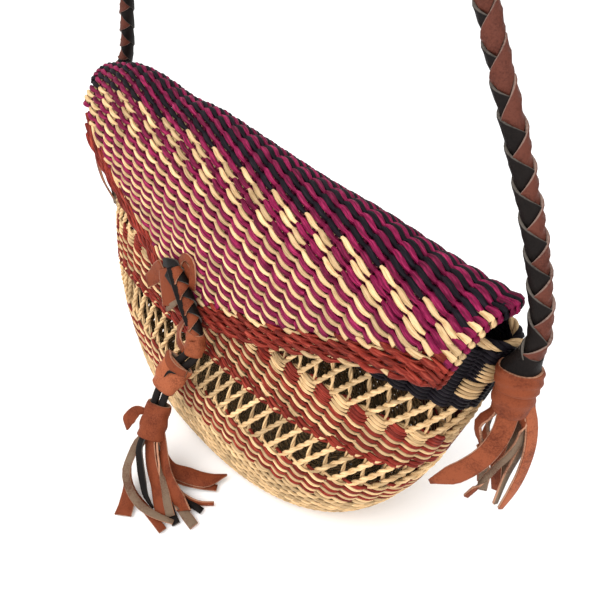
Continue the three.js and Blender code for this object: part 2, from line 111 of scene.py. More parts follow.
def make_piece(name, grids, material, replaced=()):
    """One object from a list of grids of rings, each with its tint and whether its last ring meets its
    first. An open tube is closed by a flat cap at each end."""
    corners, tints, maps, faces = [], [], [], []
    first = 0
    for points, tint, loop in grids:
        rows, columns = points.shape[:2]
        step = np.linalg.norm(np.diff(points.mean(axis=1), axis=0), axis=1)
        along = np.concatenate([[0.0], np.cumsum(step)])
        across = np.linspace(0.0, 1.0, columns)
        maps.append(np.stack(np.meshgrid(along, across, indexing="ij"), axis=-1).reshape(-1, 2))
        tint = np.asarray(tint, dtype=float)
        tint = tint if tint.ndim == 2 else tint[:, None]
        tints.append(np.broadcast_to(tint, (rows, columns)).ravel())
        corners.append(to_frame(points).reshape(-1, 3))
        faces += (first + grid_quads(rows, columns, loop)).tolist()
        if not loop:
            faces.append((first + np.arange(columns)[::-1]).tolist())
            faces.append((first + (rows - 1) * columns + np.arange(columns)).tolist())
        first += rows * columns
    mesh = bpy.data.meshes.new(name)
    mesh.from_pydata(np.concatenate(corners).tolist(), [], faces)
    mesh.polygons.foreach_set("use_smooth", np.ones(len(faces), dtype=bool))
    order = np.empty(len(mesh.loops), dtype=np.int32)
    mesh.loops.foreach_get("vertex_index", order)
    strand_map = mesh.uv_layers.new(name="strand")
    strand_map.data.foreach_set("uv", np.concatenate(maps)[order].ravel())
    mesh.attributes.new("tint", "FLOAT", "POINT").data.foreach_set("value", np.concatenate(tints))
    mesh.update()
    piece = bpy.data.objects.new(name, mesh)
    bpy.context.scene.collection.objects.link(piece)
    mesh.materials.append(material)
    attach(piece, "root")
    if replaced:
        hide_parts(*replaced)
    print(name, len(grids), "grids,", sum(len(face) - 2 for face in faces), "triangles")
    return piece


print("quads between two rings of six points:", len(grid_quads(2, 6, False)))

# %% [markdown]
# ## Smooth tables and frames
# Hand-made shapes are easiest to give as short tables. A cubic through the rows of a table keeps them
# smooth. A path also needs a frame at each point, so that a section can be carried along it. A curve
# object could carry the section too, but a function answers for any point and gives the length along the
# path.

# %% Tables, tangents and sections


def smooth_table(positions, values, where):
    """Cubic Hermite through a table; each row's slope is the weighted mean of the slopes on its two
    sides."""
    positions, values = np.asarray(positions, float), np.asarray(values, float)
    values = values.reshape(len(positions), -1)
    where = np.asarray(where, float)
    gap = np.diff(positions)
    slope = np.diff(values, axis=0) / gap[:, None]
    inner = (slope[:-1] * gap[1:, None] + slope[1:] * gap[:-1, None]) / (gap[1:] + gap[:-1])[:, None]
    tangent = np.concatenate([slope[:1], inner, slope[-1:]])
    row = np.clip(np.searchsorted(positions, where, side="right") - 1, 0, len(gap) - 1)
    t = ((where - positions[row]) / gap[row])[..., None]
    width = gap[row][..., None]
    return (values[row] * (2 * t**3 - 3 * t**2 + 1) + tangent[row] * width * (t**3 - 2 * t**2 + t)
            + values[row + 1] * (3 * t**2 - 2 * t**3) + tangent[row + 1] * width * (t**3 - t**2))


def unit(vectors):
    """Each vector divided by its own length."""
    return vectors / np.maximum(np.linalg.norm(vectors, axis=-1, keepdims=True), 1e-9)


def tangents(path):
    """The unit direction of a path at each of its points, from the points before and after."""
    return unit(np.gradient(path, axis=0))


def tube(path, facing, half_width, half_thick, around=6):
    """An oval section carried along a path: wide across the path, thick along its facing direction."""
    ahead = tangents(path)
    side = unit(np.cross(facing, ahead))
    up = np.cross(ahead, side)
    angle = 2 * np.pi * np.arange(around) / around - np.pi / 2
    wide = np.broadcast_to(half_width, len(path))[:, None, None] * np.cos(angle)[None, :, None]
    thick = np.broadcast_to(half_thick, len(path))[:, None, None] * np.sin(angle)[None, :, None]
    return path[:, None] + wide * side[:, None] + thick * up[:, None]


print("smooth table at 0.5:", smooth_table([0, 1, 2], [0, 1, 4], np.array([0.5]))[0])

# %% [markdown]
# ## Grass and leather finishes
# Dyed grass is never one flat colour: fine streaks run along each blade, every stitch took the dye a
# little differently, and the blade is slightly glossy. One function makes the finish from three shades.
# The streaks read the strand's own map, so they follow each stitch.

# %% Grass finish


def add_node(material, kind, **inputs):
    """A new node with some of its inputs set."""
    node = material.node_tree.nodes.new(kind)
    for key, value in inputs.items():
        node.inputs[key.replace("_", " ")].default_value = value
    return node


def grass_finish(name, deep, mid, pale, roughness=0.55):
    """Streaks from noise stretched along the strand choose between three shades. The tint then lightens
    or darkens them."""
    material = bpy.data.materials.new(name)
    material.use_nodes = True
    tree = material.node_tree
    shader = tree.nodes["Principled BSDF"]
    shader.inputs["Roughness"].default_value = roughness
    shader.inputs["Specular IOR Level"].default_value = 0.1
    place = tree.nodes.new("ShaderNodeUVMap")
    place.uv_map = "strand"
    stretch = add_node(material, "ShaderNodeMapping", Scale=(0.16, 7.0, 1.0))
    streak = add_node(material, "ShaderNodeTexNoise", Scale=1.0, Detail=4.0, Roughness=0.6)
    ramp = tree.nodes.new("ShaderNodeValToRGB")
    ramp.color_ramp.elements[0].position = 0.3
    ramp.color_ramp.elements[0].color = (*deep, 1)
    ramp.color_ramp.elements[1].position = 0.72
    ramp.color_ramp.elements[1].color = (*pale, 1)
    ramp.color_ramp.elements.new(0.5).color = (*mid, 1)
    tint = tree.nodes.new("ShaderNodeAttribute")
    tint.attribute_name = "tint"
    # Unclamped, so tints below zero darken strongly: painted shade on the strands' inside faces and in the
    # flap's gaps.
    shade = add_node(material, "ShaderNodeMapRange", To_Min=0.62, To_Max=1.25)
    shade.clamp = False
    mix = tree.nodes.new("ShaderNodeVectorMath")
    mix.operation = "SCALE"
    bump = add_node(material, "ShaderNodeBump", Strength=0.35, Distance=0.0004)
    tree.links.new(place.outputs["UV"], stretch.inputs["Vector"])
    tree.links.new(stretch.outputs["Vector"], streak.inputs["Vector"])
    tree.links.new(streak.outputs["Fac"], ramp.inputs["Fac"])
    tree.links.new(tint.outputs["Fac"], shade.inputs["Value"])
    tree.links.new(ramp.outputs["Color"], mix.inputs[0])
    tree.links.new(shade.outputs["Result"], mix.inputs["Scale"])
    tree.links.new(mix.outputs["Vector"], shader.inputs["Base Color"])
    tree.links.new(streak.outputs["Fac"], bump.inputs["Height"])
    tree.links.new(bump.outputs["Normal"], shader.inputs["Normal"])
    return material


natural_grass = grass_finish("natural_grass", (0.38, 0.222, 0.093), (0.66, 0.44, 0.225),
                             (0.81, 0.575, 0.325))
raspberry_grass = grass_finish("raspberry_grass", (0.045, 0.001, 0.011), (0.168, 0.005, 0.041),
                               (0.37, 0.028, 0.1))
black_grass = grass_finish("black_grass", (0.0025, 0.0015, 0.003), (0.006, 0.004, 0.007),
                           (0.02, 0.014, 0.019), 0.6)
red_grass = grass_finish("red_grass", (0.065, 0.005, 0.003), (0.195, 0.019, 0.011), (0.39, 0.075, 0.048))
print("grass finishes:", natural_grass.name, raspberry_grass.name, black_grass.name, red_grass.name)

# %% [markdown]
# The leather is matt goat leather. Its face is red-brown with a fine grain, the flesh side is paler and
# suede-like, and a cut edge shows a thin light line. A piece says with its tint which of these it is: 0
# is the flesh side, about 0.35 a cut edge, and from 0.6 up to 1 the face, from dark to light.

# %% Leather finish
EDGE_TINT = 0.36
FIRST_COLOUR, SECOND_COLOUR, MIXED_COLOUR = 6, 7, 2  # sockets of the mix node that carry colours
PORE_SHARE = 0.7


def leather_finish(name, flesh, edge, face_dark, face, face_light, roughness=0.6, grain=0.35):
    """The tint picks flesh, edge or face; broad and fine noise together darken it in patches and
    pores."""
    material = bpy.data.materials.new(name)
    material.use_nodes = True
    tree = material.node_tree
    shader = tree.nodes["Principled BSDF"]
    shader.inputs["Roughness"].default_value = roughness
    shader.inputs["Specular IOR Level"].default_value = 0.1
    place = tree.nodes.new("ShaderNodeTexCoord")
    cloud = add_node(material, "ShaderNodeTexNoise", Scale=90.0, Detail=5.0, Roughness=0.65)
    pores = add_node(material, "ShaderNodeTexNoise", Scale=1500.0, Detail=3.0, Roughness=0.6)
    tint = tree.nodes.new("ShaderNodeAttribute")
    tint.attribute_name = "tint"
    sides = tree.nodes.new("ShaderNodeValToRGB")
    for element, position, colour in zip(sides.color_ramp.elements, (0.12, 1.0), (flesh, face_light)):
        element.position = position
        element.color = (*colour, 1)
    sides.color_ramp.elements.new(EDGE_TINT).color = (*edge, 1)
    sides.color_ramp.elements.new(0.62).color = (*face, 1)
    darker = tree.nodes.new("ShaderNodeMix")
    darker.data_type = "RGBA"
    darker.inputs[SECOND_COLOUR].default_value = (*face_dark, 1)
    grit = tree.nodes.new("ShaderNodeMath")
    grit.operation = "MULTIPLY_ADD"
    grit.inputs[1].default_value = PORE_SHARE
    amount = add_node(material, "ShaderNodeMapRange", From_Min=0.8, From_Max=1.12, To_Max=0.8)
    bump = add_node(material, "ShaderNodeBump", Strength=grain, Distance=0.0005)
    tree.links.new(place.outputs["Object"], cloud.inputs["Vector"])
    tree.links.new(place.outputs["Object"], pores.inputs["Vector"])
    tree.links.new(tint.outputs["Fac"], sides.inputs["Fac"])
    tree.links.new(pores.outputs["Fac"], grit.inputs[0])
    tree.links.new(cloud.outputs["Fac"], grit.inputs[2])
    tree.links.new(grit.outputs["Value"], amount.inputs["Value"])
    tree.links.new(amount.outputs["Result"], darker.inputs["Factor"])
    tree.links.new(sides.outputs["Color"], darker.inputs[FIRST_COLOUR])
    tree.links.new(darker.outputs[MIXED_COLOUR], shader.inputs["Base Color"])
    tree.links.new(pores.outputs["Fac"], bump.inputs["Height"])
    tree.links.new(bump.outputs["Normal"], shader.inputs["Normal"])
    return material


brown_leather = leather_finish("brown_leather", (0.165, 0.112, 0.074), (0.46, 0.23, 0.14),
                               (0.068, 0.012, 0.005), (0.142, 0.027, 0.009), (0.34, 0.095, 0.04))
strap_leather = leather_finish("strap_leather", (0.08, 0.05, 0.04), (0.24, 0.16, 0.13),
                               (0.045, 0.012, 0.008), (0.1, 0.03, 0.02), (0.14, 0.042, 0.026), 0.55)
black_leather = leather_finish("black_leather", (0.028, 0.022, 0.018), (0.1, 0.085, 0.072),
                               (0.003, 0.002, 0.002), (0.006, 0.0038, 0.0033), (0.011, 0.008, 0.007),
                               0.55)
print("leather finishes:", brown_leather.name, strap_leather.name, black_leather.name)

# %% [markdown]
# ## Strap
# The strap is a round braid of four leather strips, two brown and two black. In such a braid each strip
# stays on its own side: it wraps round the outside from one seam to the other, then goes back through the
# middle. So brown and black form two columns of facets. The strap leaves its right foot, passes over a
# crown above the picture and comes down to the left foot. It is a free cord, so its length is worked out
# and printed. A pattern on a plain tube could stand for the braid, but only real strips give it a bumpy
# outline.

# %% Strap route
STRAP_SAMPLES, CORD_POINTS = 800, 81
STRAP_ROUTE = [
    (148.3, -5.6, 152.4), (148.9, -4.3, 157), (148.5, -2.4, 162.4), (146.2, -0.8, 170),
    (142.4, -0.2, 180), (135.5, 0.4, 196), (128.5, 0.8, 209.5), (121, 1.3, 223), (113.5, 1.7, 236),
    (107.5, 2.1, 246.5), (101, 2.6, 258), (91, 3, 276), (79.5, 3.3, 296), (68, 3.6, 316), (56, 3.8, 336),
    (44, 4, 356), (32, 4, 375.5), (24, 4, 388), (16, 4, 396.2), (8, 4, 400.2), (0, 4, 401.2),
    (-8, 4, 400.2), (-16, 4.2, 396.2), (-24, 4.6, 388), (-32, 5, 375.5), (-44, 5.6, 356), (-56, 6.3, 336),
    (-68, 7, 316), (-79.5, 7.7, 296), (-90, 8.3, 276), (-99, 8.7, 258), (-107, 9, 243.5),
    (-115.8, 9.4, 226), (-123.6, 9.8, 210.5), (-130.2, 10.4, 194.5), (-136.2, 11, 181),
    (-141.3, 10.6, 172.5), (-145.8, 7.4, 166.8), (-148.2, 1.6, 162.4), (-148.8, -3.5, 157.6),
    (-148.3, -5.6, 152.4),
]


def path_length(path):
    """Distance travelled up to each point of a path."""
    return np.concatenate([[0.0], np.cumsum(np.linalg.norm(np.diff(path, axis=0), axis=1))])


route = np.array(STRAP_ROUTE, float)
travelled = path_length(route)
strap_line = smooth_table(travelled, route, np.linspace(0, travelled[-1], STRAP_SAMPLES))
strap_length = path_length(strap_line)[-1]
print("strap length:", round(strap_length, 1), "mm")

# %% [markdown]
# A strip is a flat section of ten points: its face on one side, its flesh on the other and a thin pale
# cut edge between. In the braid this section is bent round the strap, so that it is given by an angle
# round the strap and a distance along it. The strip's upper edge stands out a little, and that pale edge
# draws each facet.

# %% Strap braid
STRIP_ACROSS = np.array([0, 0.86, 0.98, 0.98, 0.86, 0, -0.86, -0.98, -0.98, -0.86])
STRIP_RISE = np.array([-1, -1, -0.6, 0.6, 1, 1, 1, 0.6, -0.6, -1])
STRIP_TINT = np.array([0, 0, EDGE_TINT, EDGE_TINT, 0.75, 0.75, 0.75, EDGE_TINT, EDGE_TINT, 0])
OUTSIDE_SHARE = 0.6
SEAM_ANGLE = np.radians(105)
SEAM_DEPTH, MIDDLE_DEPTH = 0.28, 0.47
LEAN_AROUND, LEAN_ALONG = 0.745, 0.667
EDGE_LIFT = 0.14


def braid_strip(line, facing, twist, side, start, period, radius, width, thickness, swell=1.0,
                samples=18):
    """A strip of a round braid. For three fifths of a period its angle falls evenly from the front seam
    round its own side to the back seam; for the rest it goes back near the middle. Points across the
    strip differ in angle and in distance along the line. Twist turns the whole braid away from the facing
    direction; side is 1 or -1."""
    at = path_length(line)
    ahead = tangents(line)
    front = unit(facing - ahead * np.sum(ahead * facing, axis=-1, keepdims=True))
    beside = np.cross(ahead, front)
    twist = np.radians(np.broadcast_to(twist, len(line)))[:, None]
    middle = np.cos(twist) * front + np.sin(twist) * beside
    seam = np.sin(twist) * front - np.cos(twist) * beside
    travel = np.linspace(0, at[-1], int(at[-1] / period * samples) + 1)
    phase = (travel / period + start) % 1.0
    outside = phase < OUTSIDE_SHARE
    forth = 1 - phase / (OUTSIDE_SHARE / 2)
    back = (phase - (1 + OUTSIDE_SHARE) / 2) / ((1 - OUTSIDE_SHARE) / 2)
    sweep = np.where(outside, forth, back)
    through = SEAM_DEPTH + MIDDLE_DEPTH * np.cos(np.pi / 2 * sweep)
    inward = np.where(outside, SEAM_DEPTH * np.abs(sweep) ** 3, through)
    centre_radius = (radius * (1 - inward))[:, None]
    across = width / 2 * STRIP_ACROSS[None, :]
    angle = SEAM_ANGLE * sweep[:, None] + LEAN_AROUND * across / np.maximum(centre_radius, 0.78 * radius)
    place = np.clip(travel[:, None] + LEAN_ALONG * across, 0, at[-1])
    lift = EDGE_LIFT * radius * STRIP_ACROSS * outside[:, None]
    reach = centre_radius + lift + thickness / 2 * STRIP_RISE
    reach = reach * np.interp(place, at, np.broadcast_to(swell, len(line)))
    spoke = (side * np.cos(angle)[..., None] * smooth_table(at, middle, place)
             + np.sin(angle)[..., None] * smooth_table(at, seam, place))
    grid = smooth_table(at, line, place) + reach[..., None] * spoke
    tint = np.tile(STRIP_TINT, (len(travel), 1))
    return (grid, tint, False) if side > 0 else (grid[:, ::-1], tint[:, ::-1], False)


strap_at = path_length(strap_line)
FOOT_TWIST, CROWN_TWIST = 80, 10
half_change = (FOOT_TWIST - CROWN_TWIST) / 2
turn_away = 1 + np.tanh((strap_at - 85) / 8)
turn_back = 1 + np.tanh((strap_at - 320) / 20)
strap_twist = FOOT_TWIST - half_change * turn_away + half_change * turn_back
swell_places = [0, 60, 150, 300, strap_length - 150, strap_length]
strap_swell = np.interp(strap_at, swell_places, [1.08, 1.0, 0.95, 0.88, 0.95, 1.08])
strap_make = dict(period=22.5, radius=3.2, width=7.4, thickness=1.3, swell=strap_swell)
brown_strips = [braid_strip(strap_line, toward, strap_twist, 1, start, **strap_make)
                for start in (0.0, 0.5)]
black_strips = [braid_strip(strap_line, toward, strap_twist, -1, start, **strap_make)
                for start in (0.25, 0.75)]
strap_brown = make_piece("strap_brown_strips", brown_strips, strap_leather, ("strap",))
strap_black = make_piece("strap_black_strips", black_strips, black_leather)

# %% [markdown]
# ## The basket's wall as a surface
# The wall is an oval that changes with height. A short table holds its half length and half depth, from
# the mouth down the wall, round the foot and in to the middle of the base. A point of the wall is named
# by two numbers: which stake it lies at, counted round the oval, and how far down the wall it is. A
# sculpted mesh could have the same shape, but the weave below has to ask for any point and its outward
# direction.

# %% Wall surface
STAKES = 60
WALL = 3.2
SECTION_POWER = 2.39
PROFILE = np.array([
    (149.5, 142.3, 21.6), (112, 134.4, 27.6), (92, 130, 31), (79, 126.8, 36), (66.5, 123.6, 43.3),
    (47, 118.3, 55), (32, 112.5, 57.9), (18, 105.5, 57.8), (6, 96.5, 55), (0.6, 87.5, 50.8), (0, 83, 47),
    (0, 62, 26), (0, 36.6, 0.6),
])
FOOT_ROW = 9
MOUTH_LENGTH, MOUTH_DEPTH = PROFILE[0, 1:]
MEAN_OVAL = (125.0, 40.0)
SQUARER, SQUARE_HEIGHT, SQUARE_SPREAD = 2.6, 85.0, 18.0
profile_down = path_length(np.stack([PROFILE[:, 0], PROFILE[:, 1:].mean(axis=1)], axis=1))


def signed_power(value, power):
    """A number's size raised to a power, with its sign kept."""
    return np.sign(value) * np.abs(value) ** power


def oval(half_length, half_depth, angle, height=0.0):
    """A point of the superellipse with the given half axes. The left front corner is squarer near the
    upper open band."""
    corner = 2 * np.maximum(0, -np.cos(angle)) * np.maximum(0, -np.sin(angle))
    near_band = np.exp(-0.5 * ((height - SQUARE_HEIGHT) / SQUARE_SPREAD) ** 2)
    power = 2 / (SECTION_POWER + SQUARER * corner * near_band)
    return half_length * signed_power(np.cos(angle), power), half_depth * signed_power(np.sin(angle),
                                                                                       power)


fine_angle = np.linspace(-np.pi, np.pi, 4001)
fine_oval = np.stack(oval(*MEAN_OVAL, fine_angle), axis=1)
fine_share = path_length(fine_oval) / path_length(fine_oval)[-1]


def stake_angle(stake):
    """The angle at which a stake stands, so that equal numbers of stakes take equal lengths of wall."""
    share = (stake / STAKES + 0.5) % 1.0
    return np.interp(share, fine_share, fine_angle)


def wall_down(height):
    """How far down the wall a height is."""
    return np.interp(-np.asarray(height, float), -PROFILE[:FOOT_ROW + 1, 0], profile_down[:FOOT_ROW + 1])


def wall_outer(stake, down):
    """A point of the outer wall."""
    height, half_length, half_depth = np.moveaxis(smooth_table(profile_down, PROFILE, down), -1, 0)
    x, y = oval(half_length, half_depth, stake_angle(stake), height)
    return np.stack([x, y, np.maximum(height, 0.0)], axis=-1)


def surface_frame(surface, stake, down):
    """A point of a surface, its outward normal and its downward direction, from small steps each way."""
    here = surface(stake, down)
    along = unit(surface(stake + 0.05, down) - surface(stake - 0.05, down))
    fall = unit(surface(stake, down + 0.4) - surface(stake, down - 0.4))
    outward = unit(np.cross(fall, along))
    return here, outward, fall


print("wall length:", round(profile_down[FOOT_ROW], 1), "mm")
print("step between stakes:", round(path_length(fine_oval)[-1] / STAKES, 2), "mm")

# %% [markdown]
# ## Twining
# In twining, two strands of grass turn round each other between the stakes. So each strand lies in front
# of one stake and behind the next, and every stitch slants. Along its row a strand is a flattened spiral,
# and a cosine and a sine give it. If each row starts one stake later than the row above, stitches of one
# colour join into wavy lines that run down to the right. If the rows start alike, they stack into blocks.
# A bump pattern could stand for the weave, but only real strands give it depth at the edges and in the
# open bands.

# %% One twined strand
rng = np.random.default_rng(7)
# Painted shade: the inside faces of the basket's strands take this tint, far below the grass's own range,
# so the inside of the bag reads dark.
PAINTED_INSIDE_SHADE = -0.9
SLANT = 0.53
POINT, BELLY = 0.45, 0.6
STAKE_THICK = 0.6


def twined_strand(surface, first, last, down, shift, pitch, half_width, reach=1.35, thick=0.85, samples=6,
                  around=6, inner=PAINTED_INSIDE_SHADE):
    """The strand's phase is pi times the stake number less the shift. It swings across its row by half
    the row pitch times the cosine, and reaches out of the wall by the sine. It is widest where it lies in
    front or behind, and pointed where it crosses its partner. The side that faces into the bag takes the
    inner tint, which is painted shade: on the basket it darkens the inside."""
    steps = max(int(round((last - first) * samples)), 3)
    stake = np.linspace(first, last, steps + 1)
    level = down(stake) if callable(down) else np.full_like(stake, down)
    gap = pitch(stake) if callable(pitch) else pitch
    phase = np.pi * (stake - shift)
    here, outward, fall = surface_frame(surface, stake, level)
    sway = np.sin(phase)
    path = here + (reach * signed_power(sway, 0.85) - WALL / 2)[:, None] * outward
    path = path - (SLANT * gap * np.cos(phase))[:, None] * fall
    wide = half_width(stake) if callable(half_width) else half_width
    wide = wide * (POINT + BELLY * np.abs(sway) ** 0.8)
    number = np.floor(stake - shift).astype(int)
    stitches = rng.random(number.max() - number.min() + 1)
    tint = stitches[number - number.min()][:, None]
    # Painted shade: the ring points that face into the bag take the inner tint.
    facing_in = np.clip(-np.sin(2 * np.pi * np.arange(around) / around - np.pi / 2), 0, 1)[None, :]
    return tube(path, outward, wide, thick, around), tint * (1 - facing_in) + inner * facing_in, False


def stakes_down(surface, numbers, starts, stops, half_width, samples=30, tint=0.2, inset=0.0):
    """Stakes: flat tubes that run straight down a surface in the middle of its wall, or further in by the
    inset."""
    grids = []
    for number, start, stop in zip(numbers, starts, stops):
        down = np.linspace(start, stop, samples)
        here, outward, _ = surface_frame(surface, np.full(samples, float(number)), down)
        path = here - (WALL / 2 + inset) * outward
        grids.append((tube(path, outward, half_width, STAKE_THICK, 5), np.full(samples, tint), False))
    return grids


def ring_rows(heights, shifts, half_width, **sizes):
    """Closed rows round the basket, one strand in each: the last ring of points is the first one
    again."""
    pitch = sizes.pop("pitch")
    return [twined_strand(wall_outer, 0.0, STAKES, wall_down(height), shift, pitch, half_width, **sizes)
            for height, shift in zip(heights, shifts)]


def closed(grids):
    """Drops the repeated last ring, so that a row can be joined to itself."""
    return [(points[:-1], tint[:-1], True) for points, tint, _ in grids]


right_end = surface_frame(wall_outer, np.array([0.0]), wall_down([100.0]))
print("wall at the right end:", np.round(right_end[0][0], 1), "facing", np.round(right_end[1][0], 2))

# %% [markdown]
# The bands follow the photograph from the mouth to the foot: black, an openwork band, red and natural
# blocks, wavy red and natural lines, two plain red rows, a second openwork band, wavy lines again, and a
# natural base that goes on under the foot. One strand could be modelled and copied round, but the oval
# changes with height, so each row is worked out where it lies.

# %% Basket bands
ROW, LOWER_ROW = 2.1, 2.35
LINE_START = 1.15
black_heights = 148.4 - ROW * np.arange(17)
block_heights = 91.3 - ROW * np.arange(4)
upper_lines = 82.9 - ROW * np.arange(6)
red_heights = 70.2 - ROW * np.arange(2)
lower_lines = 50.2 - LOWER_ROW * np.arange(7)

black_starts = np.arange(len(black_heights)) % 2
black_make = dict(pitch=ROW, samples=5, around=5)
black_rows = ring_rows(black_heights, black_starts, 1.15, **black_make)
black_rows += ring_rows(black_heights, black_starts + 1, 1.15, **black_make)
make_piece("basket_black_rows", closed(black_rows), black_grass, ("basket",))

natural_rows = ring_rows(block_heights, np.full(4, LINE_START), 1.05, pitch=ROW)
natural_rows += ring_rows(upper_lines, LINE_START + 1 + np.arange(6), 0.9, pitch=ROW)
natural_rows += ring_rows(lower_lines, LINE_START + np.arange(7), 1.0, pitch=LOWER_ROW)
make_piece("basket_natural_lines", closed(natural_rows), natural_grass)

red_rows = ring_rows(block_heights, np.full(4, LINE_START + 1), 1.15, pitch=ROW)
red_rows += ring_rows(upper_lines, LINE_START + 2 + np.arange(6), 1.2, pitch=ROW)
red_rows += ring_rows(red_heights, np.arange(2), 1.15, pitch=ROW)
red_rows += ring_rows(red_heights, np.arange(2) + 1, 1.15, pitch=ROW)
red_rows += ring_rows(lower_lines, LINE_START + 1 + np.arange(7), 1.25, pitch=LOWER_ROW)
make_piece("basket_red_lines", closed(red_rows), red_grass)

# %% [markdown]
# The stakes are the stiff upright blades that the strands turn round. They hardly show, but without them
# light would come through between the stitches. A closed wall behind the weave would stop the light too,
# but flat tubes leave the open bands free, as on the bag. Behind the black rows they are broad and black.

# %% Basket stakes


def wall_stakes(numbers, top, foot, half_width):
    """Stakes of the basket's wall, from one height straight down to another."""
    ends = np.full((2, STAKES), [[wall_down(top)], [wall_down(foot)]])
    return stakes_down(wall_outer, numbers, *ends, half_width, samples=12)


line_stakes = np.arange(STAKES) + 0.5 + LINE_START
stake_grids = wall_stakes(line_stakes, 92.0, 67.4, 3.1) + wall_stakes(line_stakes, 51.0, 1.0, 3.1)
make_piece("basket_stakes", stake_grids, natural_grass)
black_stakes = wall_stakes(np.arange(STAKES) + 0.5, 149.0, 113.4, 5.6)
make_piece("basket_black_stakes", black_stakes, black_grass)

# %% [markdown]
# Near each end of the bag the black band carries two small stacks of natural bars. A bar is one long
# stitch that floats over the black rows. Painting them on the rows would be simpler, but a bar really
# stands out of the wall and catches light along its back.

# %% Natural bars
BAR_TOP, BAR_HALF, STACK = 142.1, 0.62, 5


def floating_bar(height, first, last):
    """A long stitch that rises out of the wall by a sine, sinks a little on its way and is pointed at
    both ends."""
    t = np.linspace(0, 1, 9)
    down = wall_down(height - 1.6 * (t - 0.5))
    here, outward, _ = surface_frame(wall_outer, first + (last - first) * t, down)
    rise = 0.2 + 0.9 * np.sin(np.pi * t) ** 0.6
    path = here + (rise - 0.6)[:, None] * outward
    return tube(path, outward, 0.3 + 0.6 * np.sin(np.pi * t) ** 0.5, 0.7), np.full(9, rng.random()), False


bars = []
for centre, way in ((0.0, -1), (0.0, 1), (STAKES / 2, -1), (STAKES / 2, 1)):
    for number in range(2 * STACK):
        lower = number >= STACK
        middle = centre + way * (1.45 if lower else 1.04)
        height = BAR_TOP - ROW * number - (0.3 if lower else 0)
        bars.append(floating_bar(height, middle - BAR_HALF, middle + BAR_HALF))
make_piece("basket_natural_bars", bars, natural_grass)

# %% [markdown]
# The base is plain natural twining. Its rows begin on the wall below the wavy lines, go round the foot
# and get shorter until the last two meet in the middle underneath. A flat oval could close the bag as
# well, but the weave shows where the foot curves in. The rows that lie on the ground have fewer points.

# %% Natural base
BASE_ROW = 2.45
ON_WALL = dict(samples=5, around=5)
UNDERNEATH = dict(samples=3, around=4, reach=0.75, thick=0.75)
base_first, base_last = wall_down(33.8), profile_down[-1]
base_count = int((base_last - base_first) / BASE_ROW) + 1
base_rows = []
for number, down in enumerate(base_first + BASE_ROW * np.arange(base_count)):
    base_make = ON_WALL if down < profile_down[FOOT_ROW] + 3 else UNDERNEATH
    for strand in (0, 1):
        shift = 0.5 * number + strand
        base_rows.append(twined_strand(wall_outer, 0.0, STAKES, down, shift, BASE_ROW, 1.25, **base_make))
make_piece("basket_natural_base", closed(base_rows), natural_grass)

# %% [markdown]
# ## Openwork
# In the two open bands nothing is woven across. Each stake parts into a two-ply cord that leans up to the
# right, and a thinner one behind it that leans the other way. A ply is a small spiral round its cord's
# line. Holes in a sheet would give the same bands, but no cords that cross.

# %% Openwork cords
UPPER_BAND, LOWER_BAND = (90.0, 115.0), (49.5, 69.5)
FRONT_CORD = dict(depth=1.1, radius=0.66, ply=0.84)
BACK_CORD = dict(depth=-1.0, radius=0.46, ply=0.62)


def twisted_cord(line, facing, radius, ply, turns, plies=2, around=6):
    """Plies that turn round one line: each is a tube whose centre circles the line."""
    ahead = tangents(line)
    side = unit(np.cross(facing, ahead))
    up = np.cross(ahead, side)
    grids = []
    for number in range(plies):
        angle = 2 * np.pi * (np.linspace(0, turns, len(line)) + number / plies)
        path = line + radius * (np.cos(angle)[:, None] * side + np.sin(angle)[:, None] * up)
        grids.append((tube(path, facing, ply, ply, around), np.full(len(line), rng.random()), False))
    return grids


def openwork(low, high, lean, depth, radius, ply, turns, start):
    """One cord for each stake across an open band, from the lower edge up, leaning by a number of
    stakes."""
    grids = []
    t = np.linspace(0, 1, 17)
    down = wall_down(low + (high - low) * t)
    for stake in range(STAKES):
        here, outward, _ = surface_frame(wall_outer, stake + start + lean * t, down)
        bow = depth * (0.4 + 0.6 * np.sin(np.pi * t)) - WALL / 2
        grids += twisted_cord(here + bow[:, None] * outward, outward, radius, ply, turns)
    return grids


front_cords = openwork(*UPPER_BAND, lean=1.55, turns=3.4, start=1.0, **FRONT_CORD)
front_cords += openwork(*LOWER_BAND, lean=1.5, turns=3.0, start=1.3, **FRONT_CORD)
make_piece("basket_openwork_front", front_cords, natural_grass)
back_cords = openwork(*UPPER_BAND, lean=-0.7, turns=1.8, start=1.95, **BACK_CORD)
back_cords += openwork(*LOWER_BAND, lean=-0.8, turns=1.5, start=1.9, **BACK_CORD)
make_piece("basket_openwork_back", back_cords, natural_grass)

# %% [markdown]
# ## Rim
# The mouth is finished with a twisted rope of natural and black grass that sits on the last black row. It
# is the openwork's cord again, now with four plies and closed to a ring, so the same function makes it.

# %% Rim rope
RIM_MIDDLE = 151.9
rim_stake = np.linspace(0, STAKES, 8 * STAKES + 1)
rim_x, rim_y = oval(MOUTH_LENGTH - WALL / 2, MOUTH_DEPTH - WALL / 2, stake_angle(rim_stake))
rim_line = np.stack([rim_x, rim_y, np.full_like(rim_x, RIM_MIDDLE)], axis=1)
rim_outward = surface_frame(wall_outer, rim_stake, np.full_like(rim_stake, 0.5))[1]
rim_plies = twisted_cord(rim_line, rim_outward, radius=1.15, ply=1.0, turns=30, plies=4)
make_piece("rim_natural_plies", closed(rim_plies[:2]), natural_grass, ("rim_border",))
make_piece("rim_black_plies", closed(rim_plies[2:]), black_grass)

# %% [markdown]
# ## Flap surface
# The flap rises from the back rim, folds over and falls in front to a point. It is also named by two
# numbers: a place along the bag, and the distance from the back rim over the fold and down. The ridge
# bows up left of the middle. A cloth could be draped over the mouth, but this woven lid is stiff and
# keeps its fold, so a table of rows from back to front gives its shape.

